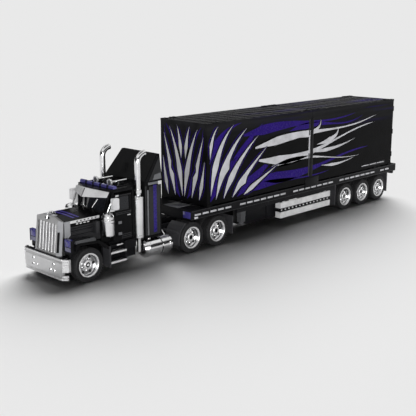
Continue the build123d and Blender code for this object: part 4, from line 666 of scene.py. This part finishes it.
class LORRY_OT_nose(Operator):
    """Adds the bumper's pins and bars, the grille's cheeks and cap, hood trim, ornament and lamp fittings"""
    bl_idname = "lorry.nose"
    bl_label = "Nose"

    def bumper(self):
        face = cad("bumper")[1].x
        collar = [(-0.6, 3.7), (0.5, 3.7), (1.2, 3.2), (1.5, 2.4), (1.2, 1.7), (-0.6, 1.6)]
        plug = [(-0.5, 1.7), (0.5, 1.7), (0.6, 1.2)]
        pins = [(face, y, z) for y, z in ((30.5, 37), (32, 25.6), (21, 26))]
        pair([turned("X", pin, collar, 24, closed=True) for pin in pins], "bumper_pins", "polished")
        # Black discs in the pins' holes stand in for the shade inside them.
        pair([turned("X", pin, plug, 16) for pin in pins], "bumper_pin_hole_shade", "satin black")
        x, y = face - 0.3, 56.4
        lips = [rod((x, -y, z), (x, y, z), radius) for z, radius in ((49.2, 1), (13, 0.9))]
        fit(lips, "bumper_lips", "polished")
        bars = [plate([(520, 57.1, low), (512.9, 65.1, low), (512.9, 65.1, high), (520, 57.1, high)], 0.7)
                for low, high in ((27.6, 40.6), (41.8, 45.2), (46.2, 49.6))]
        tab = [(520, 50), (520, 55.4), (514, 62), (511, 62), (511, 57), (516, 50)]
        bars += [slab("Z", tab, low, high) for low, high in ((12.2, 15.4), (16.4, 20.4))]
        pair(bars, "bumper_end_bars", "polished")
        trim([("bumper_shelf", "satin black", (509.8, 519.2, 39.6, 55.6, 49.8, 50.4),
               (515.2, 519.2, 0, 39.7, 49.8, 50.4))])

    def grille(self):
        chamfer = [(GRILLE_FOOT, 31, 50.4), (508, 39, 50.4), (501.3, 39, 110), (507.5, 31, 112.3)]
        flat = [(501, 78), (501, 109.6), (489, 109.6), (489, 84), (494, 79.5)]
        pair([plate(chamfer, 0.6), slab("Y", flat, 39.9, 40.9)], "grille_cheeks", "pale grey")
        slot = []
        for share, z in ((0.06, 56), (0.5, 56), (0.5, 92), (0.06, 92)):
            back = GRILLE_LEAN * (z - GRILLE_LOW) / (GRILLE_HIGH - GRILLE_LOW)
            slot.append((GRILLE_FOOT - 6.5 * share - back, 31 + 8 * share, z))
        pair([plate(slot, 0.9)], "cheek_slots", "satin black")
        slope = [(504.8, 15.4, 117), (504.2, 30, 112.6), (493, 38, 110.3), (496, 15.4, 117)]
        pair([plate(slope, -0.6, -0.1)], "grille_cap_facets", "pale grey")
        trim([("grille_cap_top", "pale grey", (496, 505, -14.6, 14.6, 116.8, 117.6))], paired=False)
        bends = [(491, 117.6), (497, 121.4), (503, 121.4), (507, 117.4), (508.6, 110.5)]
        bar = [rod((x, 0, z), (end, 0, height), 2) for (x, z), (end, height) in zip(bends, bends[1:])]
        fit(bar, "hood_ornament", "chrome")
        angles = [math.radians(degrees) for degrees in range(0, 360, 15)]
        oval = [(6.4 * math.cos(angle), 112.4 + 2.4 * math.sin(angle)) for angle in angles]
        fit([slab("X", oval, 507, 508.4)], "grille_slot", "satin black")

    def hood(self):
        trim(HOOD_TRIM)
        chevrons = []
        for x in (471, 481):
            slope = [(x, 15), (x + 5, 15), (x - 3, 33), (x - 8, 33)]
            flat = [(x, 0), (x + 5, 0), (x + 5, HOOD_FLAT), (x, HOOD_FLAT)]
            for outline in (slope, flat):
                corners = [(x, y, HOOD_TOP - max(0, y - HOOD_FLAT) * HOOD_FALL) for x, y in outline]
                chevrons.append(plate(corners, 0.35))
        pair(chevrons, "hood_chevrons", "violet")
        pair([rod((452, 60.8, 74), (494, 60.8, 74), 4.4, 24)], "fender_bars", "slate grey")

    def headlamps(self):
        front = cad("headlamps")[1].x
        dome = turned("X", (front, 52.5, 74.6), [(-0.5, 6), (0.3, 6), (1, 5), (1.4, 2.5)])
        pair([dome], "headlamp_domes", "lamp lens")
        trim([
            ("headlamp_brackets", "satin black", (front - 6, front - 0.4, 54.4, 58, 49.9, 59.2),
             (front - 1.6, front - 0.2, 43.4, 54.5, 54, 59.2)),
            ("headlamp_frames", "satin black", (front - 6.8, front + 0.3, 42.6, 62.4, 67.4, 68.6),
             *((front - 6.8, front + 0.4, y, y + 1.2, 58.6, 81.4) for y in (42.4, 61.4))),
        ])

    def execute(self, context):
        self.bumper()
        self.grille()
        self.hood()
        self.headlamps()
        return {"FINISHED"}


class LORRY_OT_cab(Operator):
    """Adds pillar bars, mirror glass, roof trim, horn lips, lamp spacers and the fittings of the doors"""
    bl_idname = "lorry.cab"
    bl_label = "Cab"

    def roof(self):
        ridge = [(424, 152.8), (433, 138), (433.8, 138.4), (424.9, 153.2)]
        fit([slab("Y", ridge, -0.45, 0.45)], "visor_seam", "dark grey")
        trim(ROOF_TRIM)
        bell = (cad("air_horns")[1].x, 20.5, 159.5)
        lip = [(-4, 5.6), (-1, 6.7), (0.6, 6.9), (1, 6.4), (0.4, 4.6), (-4, 4.5)]
        pair([turned("X", bell, lip, closed=True)], "horn_lips", "polished")
        pair([turned("X", bell, [(-0.4, 4.7), (0.2, 4.7), (0.3, 2)])], "horn_mouths", "slate grey")
        x = centre_of("roof_lamps").x
        gaps = [rod((x, y, 155), (x, y + 7.4, 155), 3.7) for y in (6.8, 27.8)]
        pair(gaps, "lamp_spacers", "satin black")

    def doors(self):
        for side, turn in sides():
            for name, finish, *spans in DOOR_TRIM:
                fit([block(*span) for span in spans], f"door_{side}_{name}", finish, f"door_{side}", turn)

    def execute(self, context):
        bars = [rod((415.5, 51, 114), (404, 53, 138), 1.5), rod((419.6, 12, 117), (410.6, 19, 134), 2)]
        pair(bars, "cab_bright_bars", "chrome")
        quarter = [(411.5, 114), (402, 131.5), (400.4, 131.5), (400.4, 114)]
        pair([slab("Y", quarter, 51.9, 53)], "quarter_plates", "silver")
        low, high = cad("mirror_left")
        glass = block(low.x - 0.5, low.x + 0.3, 58.8, high.y - 0.8, low.z + 1.2, high.z - 1.2)
        pair([glass], "mirror_glass", "chrome")
        self.roof()
        self.doors()
        return {"FINISHED"}


class LORRY_OT_sleeper(Operator):
    """Adds the sleeper's bars, stripes and panels and the fairing's side strips"""
    bl_idname = "lorry.sleeper"
    bl_label = "Sleeper"

    def execute(self, context):
        side = cad("sleeper")[1].y
        trim([
            ("sleeper_bars", "mid grey", (323.4, 326.8, side - 0.1, side + 1.4, 56, 142)),
            ("sleeper_stripes", "violet", (303.5, 311.5, side, side + 0.7, 59, 150)),
            ("sleeper_caps", "mid grey", (300, 324, side - 0.1, side + 1.2, 151.4, 155.8)),
            ("sleeper_cap_tips", "silver", (292.5, 299.5, side - 0.1, side + 1.5, 149.6, 156)),
            ("sleeper_panels", "dark grey", (295, 321, side - 0.1, side + 0.4, 55, 148),
             (328.2, 331.6, side - 0.1, side + 0.5, 56, 150)),
        ])
        for name, finish, lift, *outline in FAIRING_STRIPS:
            strip = slab("Y", outline, side - 0.3, side + lift)
            pair([settle(strip, about("X", FAIRING_LEAN, (0, side, 156)))], name, finish)
        return {"FINISHED"}


class LORRY_OT_stacks(Operator):
    """Adds stack stays and beads, tank bands, slots and stays, step treads, battery boxes and a sump, which
    also stands in for the shade under the cab
    """
    bl_idname = "lorry.stacks"
    bl_label = "Stacks, tanks and steps"

    def tanks(self):
        low, high = cad("fuel_tanks")
        seam = low.x + TANK_SEAM * (high.x - low.x)
        slots = [hoop("X", TANK, seam - 1.1, 2.2, 14.7, 16.7)]
        for x, angle in ((302, 30), (308, 30), (314, 30), (322, 44), (322, 16), (276, 26), (283, 26)):
            hole = block(x, x + 3.6, 63.9, 65.6, 27.6, 29.6)
            slots.append(settle(hole, about("X", angle, TANK)))
        pair(slots, "tank_slots", "satin black")
        straps = [hoop("X", TANK, x, 3, 17.2, 17.7) for x in (low.x + 8, high.x - 11)]
        cap = turned("Z", (316, 48, 0), [(45, 4.2), (48.2, 4.2), (48.8, 3.6), (48.9, 1.5)], 24)
        pair(straps + [cap], "tank_straps", "chrome")
        pair([rod((291.5, 47, 70), (274, 47, 45), 0.9)], "tank_stays", "silver")

    def execute(self, context):
        pair([hoop("Z", STACK, z, 2, 9.9, 10.5, 0.4) for z in (58, 128)], "muffler_beads", "chrome")
        cleaner = (centre_of("air_cleaners").x, 55, 0)
        seals = [hoop("Z", cleaner, z, 1.4, 11, 11.6, 0.2) for z in (96.4, 102.2)]
        pair(seals, "air_cleaner_seals", "satin black")
        self.tanks()
        trim(STEP_TRIM)
        # A sump under the engine; its dark block also stands in for the shade in the gap under the cab.
        trim([("sump", "satin black", (376, 434, -14.2, 14.2, 22, 41))], paired=False)
        return {"FINISHED"}


# Trailer

SIDE, ROOF = 66.65, 251.1
BOX_SEAM = (-172, -145)
DOOR_FACE = -494.5
LOCK_RODS = (14, 42)
PRINT_BASE = {"Y": 66.6, "X": 177.45}
BOX_TRIM = [
    ("joint_strips", "dark grey", (-152, -147.4, SIDE - 0.1, SIDE + 0.5, 103, 232)),
    # A silver patch on the joint strip is a painted reflection.
    ("joint_strip_painted_reflections", "silver print", (-152, -147.4, SIDE + 0.4, SIDE + 0.7, 155, 196)),
    ("joint_posts", "satin black", (-164, -153, SIDE - 0.1, SIDE + 0.7, 100, 234),
     (-187, -138, SIDE - 0.9, SIDE + 1.2, 77, 99.5)),
    ("tail_strips", "satin black", (-464, -360, SIDE - 0.1, SIDE + 0.4, 92.5, 101)),
    ("tail_strip_dashes", "silver print",
     *((x, x + 30, SIDE + 0.2, SIDE + 0.6, 96, 98) for x in (-461.5, -427.5, -393.5))),
    ("roof_studs", "satin black", *((x, x + 5, 58, 66, ROOF, ROOF + 1.3)
                                    for x in (-150, -141, -167, -176, -185, 150, 141, -472, -463)))]


class LORRY_OT_trailer(Operator):
    """Adds reflective dashes, rail lips, guard pins, deck plate, dark boxes under the deck that stand in for
    shade, leg sleeves and lamps
    """
    bl_idname = "lorry.trailer"
    bl_label = "Trailer"

    def execute(self, context):
        s = context.scene.lorry_sizes
        low, high = cad("side_rails")
        nose, tail = high.x, cad("trailer_frame")[0].x
        dash, pitch = s.dash / MM, s.dash_pitch / MM
        count = int((nose - low.x - 16) // pitch)
        ends = [nose - 10 - i * pitch for i in range(count) if i % 8 != 5]
        trim([
            ("rail_dashes", "silver print", *((x - dash, x, 65.9, 66.35, 73.3, 76.9) for x in ends)),
            ("rail_lips", "dark grey", (low.x + 1, nose - 1, 65.6, 66.4, 82.2, 83.8),
             (low.x + 1, nose - 1, 65.6, 66.4, 66.6, 67.8)),
            ("nose_lamps", "lamp lens", (nose - 0.2, nose + 1, 44, 64.6, 69, 82)),
            ("nose_markers", "clear lamp", (203, 212, 65.8, 67.2, 67.6, 71.4)),
            # Dark backs behind the side guards stand in for the shade under the trailer.
            ("guard_shade_backs", "satin black", (-236, -55.6, 61.4, 63.2, 33.4, 43.6)),
            # Dark boxes under the deck stand in for the shade under the trailer.
            ("underdeck_shade_boxes", "satin black", (-110, -33, 16, 44, 20, 58.6), (-29, 46, 16, 44, 20, 58.6)),
            ("leg_sleeves", "slate grey", (51.4, 63.6, 43.9, 56.1, 31, 47)),
            ("tail_lamps", "lamp lens", *((tail - 0.9, tail + 0.4, y, y + 12, 62, 70) for y in (30, 44))),
        ], "trailer")
        trim([
            ("deck_plates", "mid grey", (183, 217, -17, 24, 83.8, 84.6)),
            ("tail_plate", "mid grey", (tail - 0.7, tail + 0.4, -13, 13, 73.6, 82)),
        ], "trailer", paired=False)
        pin = turned("Y", (-229, 0, 38.5), [(63, 1.7), (64.6, 1.7), (65, 1.2)], 12)
        pins = [pin] + [copied(pin, moved(13 * i, 0, 0)) for i in range(1, 14)]
        pair(pins, "guard_pins", "silver", "trailer")
        return {"FINISHED"}


class LORRY_OT_boxes(Operator):
    """Adds joint strips and posts, roof studs and ribs, and the rods and cams of the rear doors"""
    bl_idname = "lorry.boxes"
    bl_label = "Load boxes"

    def execute(self, context):
        face = DOOR_FACE
        if cad("box_door_left")[0].x > face:
            raise RuntimeError("the rear doors are not where their rods go")
        trim(BOX_TRIM, "trailer")
        ribs = [x for x in range(-480, 170, 30) if not BOX_SEAM[0] < x < BOX_SEAM[1]]
        trim([("roof_ribs_cross", "printed panel", *((x, x + 2, -64, 64, ROOF, ROOF + 0.6) for x in ribs))],
             "trailer", paired=False)
        for name, turn in sides():
            body = f"box_door_{name}"
            rods = [rod((face - 1.7, y, 93.5), (face - 1.7, y, 245.5), 1.2) for y in LOCK_RODS]
            rods += [rod((face - 2.6, y, 150), (face - 2.6, y - 10, 150), 0.9) for y in LOCK_RODS]
            fit(rods, f"lock_rods_{name}", "chrome", body, turn)
            cams = [block(face - 3.1, face + 0.1, y - 2.4, y + 2.4, z, z + 4)
                    for y in LOCK_RODS for z in (96, 146, 190, 239)]
            fit(cams, f"lock_cams_{name}", "satin black", body, turn)
        return {"FINISHED"}


def tongue(x, z, run, width, rise, sway, steps=26):
    """The outline of a flame tongue from (x, z) towards -x, swaying and thinning to a point."""
    upper, lower = [], []
    for i in range(steps + 1):
        t = i / steps
        middle = z + rise * t * t + sway * math.sin(1.7 * math.pi * t)
        swell = 1 + 0.4 * math.sin(2.3 * math.pi * t)
        half = width / 2 * (1 - t) ** 0.85 * swell * min(1, 0.25 + 5 * t)
        upper.append((x - run * t, middle + half))
        lower.append((x - run * t, middle - half))
    return upper + lower[-2::-1]


def thorn(start, lean, end, width, barb=0, grow=0, steps=20):
    """The outline of a curved thorn between two points, pulled towards a third, with a barb on one side."""
    left, right = [], []
    for i in range(steps + 1):
        t = i / steps
        a, b, c = (1 - t) ** 2, 2 * t * (1 - t), t * t
        u, v = (a * start[k] + b * lean[k] + c * end[k] for k in (0, 1))
        du, dv = ((1 - t) * (lean[k] - start[k]) + t * (end[k] - lean[k]) for k in (0, 1))
        size = math.hypot(du, dv)
        half = width / 2 * (t / 0.32 if t < 0.32 else ((1 - t) / 0.68) ** 1.15)
        half += grow * min(1, 0.15 + 6 * t, 0.15 + 6 * (1 - t)) + 0.05
        spike = barb * max(0, 1 - abs(t - 0.4) / 0.1)
        left.append((u - dv / size * (half + spike), v + du / size * (half + spike)))
        right.append((u + dv / size * half, v - du / size * half))
    return left + right[::-1]


SILVER_FLAMES = [(34, 188, 452, 15, 40, 9), (22, 160, 430, 17, 34, -11), (-20, 141, 330, 8, -6, 8)]
SILVER_HOOKS = [((-96, 196), (-196, 196), (-190, 228), 14), ((-176, 172), (-268, 176), (-258, 206), 13),
                ((-150, 158), (-250, 150), (-330, 172), 9), ((-196, 122), (-260, 112), (-330, 126), 7)]
VIOLET_FLAMES = [(70, 218, 400, 18, 20, 7), (30, 122, 420, 21, 16, -9), (-60, 204, 300, 13, 30, 12),
                 (70, 101, 300, 13, 10, 5)]
SILVER_THORNS = [((167, 106), (153, 204), (102, 243), 16), ((152, 97), (128, 186), (62, 232), 17, 6),
                 ((130, 95), (102, 160), (26, 214), 16), ((104, 94), (74, 132), (-4, 188), 14, 6),
                 ((70, 94), (40, 110), (-44, 146), 11), ((169, 180), (168, 226), (146, 244), 8)]
VIOLET_THORNS = [((170, 170), (148, 236), (76, 245), 20), ((168, 94), (138, 150), (90, 176), 30),
                 ((120, 120), (80, 196), (10, 238), 26), ((90, 93), (30, 130), (-40, 168), 26)]
FRONT_THORNS = [((3, 98), (12, 184), (40, 238), 13), ((24, 97), (40, 170), (57, 224), 12, -5),
                ((45, 96), (55, 138), (60, 176), 9), ((6, 176), (8, 214), (18, 242), 9)]
THORN_LAYERS = [("edges", "violet print", 4.4), ("outlines", "black print", 3.1),
                ("faces", "silver print", 0)]
FRONT_VIOLET = [((10, 94), (48, 150), (56, 240), 22), ((2, 120), (20, 210), (52, 244), 14)]


class LORRY_OT_print(Operator):
    """Lays generic flames and curved thorns over the boxes' sides and front"""
    bl_idname = "lorry.print"
    bl_label = "Print"

    def layer(self, number, outlines, name, finish, axis="Y"):
        """One layer of print, as thick as its place in the stack, on both sides or on the front."""
        base = PRINT_BASE[axis]
        lift = bpy.context.scene.lorry_sizes.print_lift / MM
        plates = [slab(axis, outline, base, base + (number + 0.5) * lift) for outline in outlines]
        pair(plates, name, finish, "trailer")

    def thorns(self, first, table, name, axis="Y"):
        """Silver thorns on a black ground with a violet edge, over three layers."""
        for step, (kind, finish, grow) in enumerate(THORN_LAYERS):
            outlines = [thorn(*row, grow=grow) for row in table]
            self.layer(first + step, outlines, f"{name}_{kind}", finish, axis)

    def execute(self, context):
        self.layer(1, [tongue(*row) for row in VIOLET_FLAMES], "violet_flames", "violet print")
        ground = [tongue(x + 4, z, run + 8, width + 8, *bend) for x, z, run, width, *bend in SILVER_FLAMES]
        ground += [thorn(*row, grow=2.6) for row in SILVER_HOOKS]
        self.layer(2, ground, "flame_outlines", "black print")
        self.layer(3, [tongue(*row) for row in SILVER_FLAMES], "silver_flames", "silver print")
        self.layer(3.3, [thorn(*row) for row in SILVER_HOOKS], "silver_hooks", "silver print")
        self.layer(1.4, [thorn(*row) for row in VIOLET_THORNS], "violet_thorns", "violet print")
        self.thorns(4, SILVER_THORNS, "thorn")
        self.layer(1, [thorn(*row) for row in FRONT_VIOLET], "front_violet_thorns", "violet print", "X")
        self.thorns(2, FRONT_THORNS, "front_thorn", "X")
        return {"FINISHED"}


# Stage

SUNS = [("back_light", (-0.633, -0.411, 0.656), 4.62, 50, False, True),
        ("front_light", (0.62, 0.78, 0.07), 3.7, 30, True, False)]
SUN_DISTANCE = 1.6
BANDS = [(0.05, 233), (0.1, 46), (0.5, 36), (0.6, 245), (0.86, 245), (0.93, 90), (1, 120)]
FILL = 0.05
FLOOR_RADIUS, FLOOR_DROP = 14, 0.0002
FLOOR_FADE = (0.8, 2.6)
CAMERA_PLACE = (1.2772, 1.1479, 0.4541)
CAMERA_AZIMUTH, CAMERA_ELEVATION = math.radians(44.4406), math.radians(13.4814)
CAMERA_LENS, CAMERA_SENSOR = 69.14, 36


class LORRY_OT_stage(Operator):
    """Sets the pale floor, the soft light and the camera"""
    bl_idname = "lorry.stage"
    bl_label = "Stage"

    def floor(self, tint):
        """A floor that takes shadows near by and fades to a plain tint far off."""
        clear()
        bpy.ops.mesh.primitive_circle_add(vertices=96, radius=FLOOR_RADIUS, fill_type="NGON",
                                          location=(0, 0, -FLOOR_DROP))
        bpy.ops.object.transform_apply()
        floor = bpy.context.object
        floor.name = floor.data.name = "studio_floor"
        material = bpy.data.materials.new("studio floor")
        g = Graph(material)
        g.tree.nodes.clear()
        near = g.node("BsdfDiffuse", tint).outputs[0]
        far = g.node("Emission", tint).outputs[0]
        place = g.node("TexCoord").outputs["Object"]
        reach = g.node("VectorMath", place, settings={"operation": "LENGTH"}).outputs["Value"]
        fade = g.node("MapRange", reach, *FLOOR_FADE, settings={"interpolation_type": "SMOOTHSTEP"})
        seen = g.seen("Is Camera Ray", "Is Glossy Ray", "Is Transmission Ray")
        share = g.math("MULTIPLY", fade.outputs["Result"], seen)
        g.node("OutputMaterial", g.node("MixShader", share, near, far).outputs[0])
        floor.data.materials.append(material)
        return floor

    def world(self, tint):
        """A dim fill, bands that glossy and clear pieces mirror, and a plain backdrop."""
        world = bpy.data.worlds.new("studio")
        bpy.context.scene.world = world
        g = Graph(world)
        g.tree.nodes.clear()
        height = g.node("SeparateXYZ", g.node("TexCoord").outputs["Generated"]).outputs["Z"]
        bands = g.ramp(height, *((position, screen(level, level, level)) for position, level in BANDS))
        fill = g.node("Background", Strength=FILL).outputs[0]
        shown = g.node("Background", bands).outputs[0]
        plain = g.node("Background", tint).outputs[0]
        lit = g.node("MixShader", g.seen("Is Glossy Ray", "Is Transmission Ray"), fill, shown).outputs[0]
        g.node("OutputWorld", g.node("MixShader", g.seen("Is Camera Ray"), lit, plain).outputs[0])

    def suns(self, floor):
        """Soft lights, of which some leave the floor out."""
        for name, toward, energy, spread, glints, on_floor in SUNS:
            clear()
            bpy.ops.object.light_add(type="SUN", location=Vector(toward) * SUN_DISTANCE)
            sun = bpy.context.object
            sun.name = name
            sun.visible_glossy = glints
            sun.data.energy = energy
            sun.data.angle = math.radians(spread)
            sun.rotation_euler = Vector(toward).to_track_quat("Z", "Y").to_euler()
            if not on_floor:
                skipped = bpy.data.collections.new(f"{name}_skips")
                skipped.objects.link(floor)
                skipped.collection_objects[0].light_linking.link_state = "EXCLUDE"
                sun.light_linking.receiver_collection = skipped

    def execute(self, context):
        tint = context.scene.lorry_colours.floor
        floor = self.floor(tint)
        self.world(tint)
        self.suns(floor)
        bpy.ops.object.camera_add(location=CAMERA_PLACE)
        camera = bpy.context.object
        camera.name = "photo_camera"
        camera.rotation_euler = (math.pi / 2 - CAMERA_ELEVATION, 0, CAMERA_AZIMUTH + math.pi / 2)
        camera.data.lens = CAMERA_LENS
        camera.data.sensor_width = CAMERA_SENSOR
        camera.data.clip_start = 0.01
        context.scene.camera = camera
        context.scene.view_settings.view_transform = "Standard"
        return {"FINISHED"}


OPERATORS = (LORRY_OT_finishes, LORRY_OT_tyres, LORRY_OT_wheel_trim, LORRY_OT_nose, LORRY_OT_cab,
             LORRY_OT_sleeper, LORRY_OT_stacks, LORRY_OT_trailer, LORRY_OT_boxes, LORRY_OT_print,
             LORRY_OT_stage)


class LORRY_PT_dress(Panel):
    """Lists the steps that dress the lorry"""
    bl_idname = "LORRY_PT_dress"
    bl_label = "Lorry"
    bl_space_type = "VIEW_3D"
    bl_region_type = "UI"
    bl_category = "Lorry"

    def draw(self, context):
        for group in (context.scene.lorry_colours, context.scene.lorry_sizes):
            for name in group.__annotations__:
                self.layout.prop(group, name)
        for operator in OPERATORS:
            self.layout.operator(operator.bl_idname)


CLASSES = (LorryColours, LorrySizes, *OPERATORS, LORRY_PT_dress)


def register():
    for cls in CLASSES:
        bpy.utils.register_class(cls)
    bpy.types.Scene.lorry_colours = PointerProperty(type=LorryColours)
    bpy.types.Scene.lorry_sizes = PointerProperty(type=LorrySizes)


def unregister():
    del bpy.types.Scene.lorry_sizes
    del bpy.types.Scene.lorry_colours
    for cls in reversed(CLASSES):
        bpy.utils.unregister_class(cls)


def main():
    register()
    bpy.ops.lorry.finishes()
    bpy.ops.lorry.tyres()
    bpy.ops.lorry.wheel_trim()
    bpy.ops.lorry.nose()
    bpy.ops.lorry.cab()
    bpy.ops.lorry.sleeper()
    bpy.ops.lorry.stacks()
    bpy.ops.lorry.trailer()
    bpy.ops.lorry.boxes()
    bpy.ops.lorry.print()
    bpy.ops.lorry.stage()


if __name__ == "__main__":
    main()
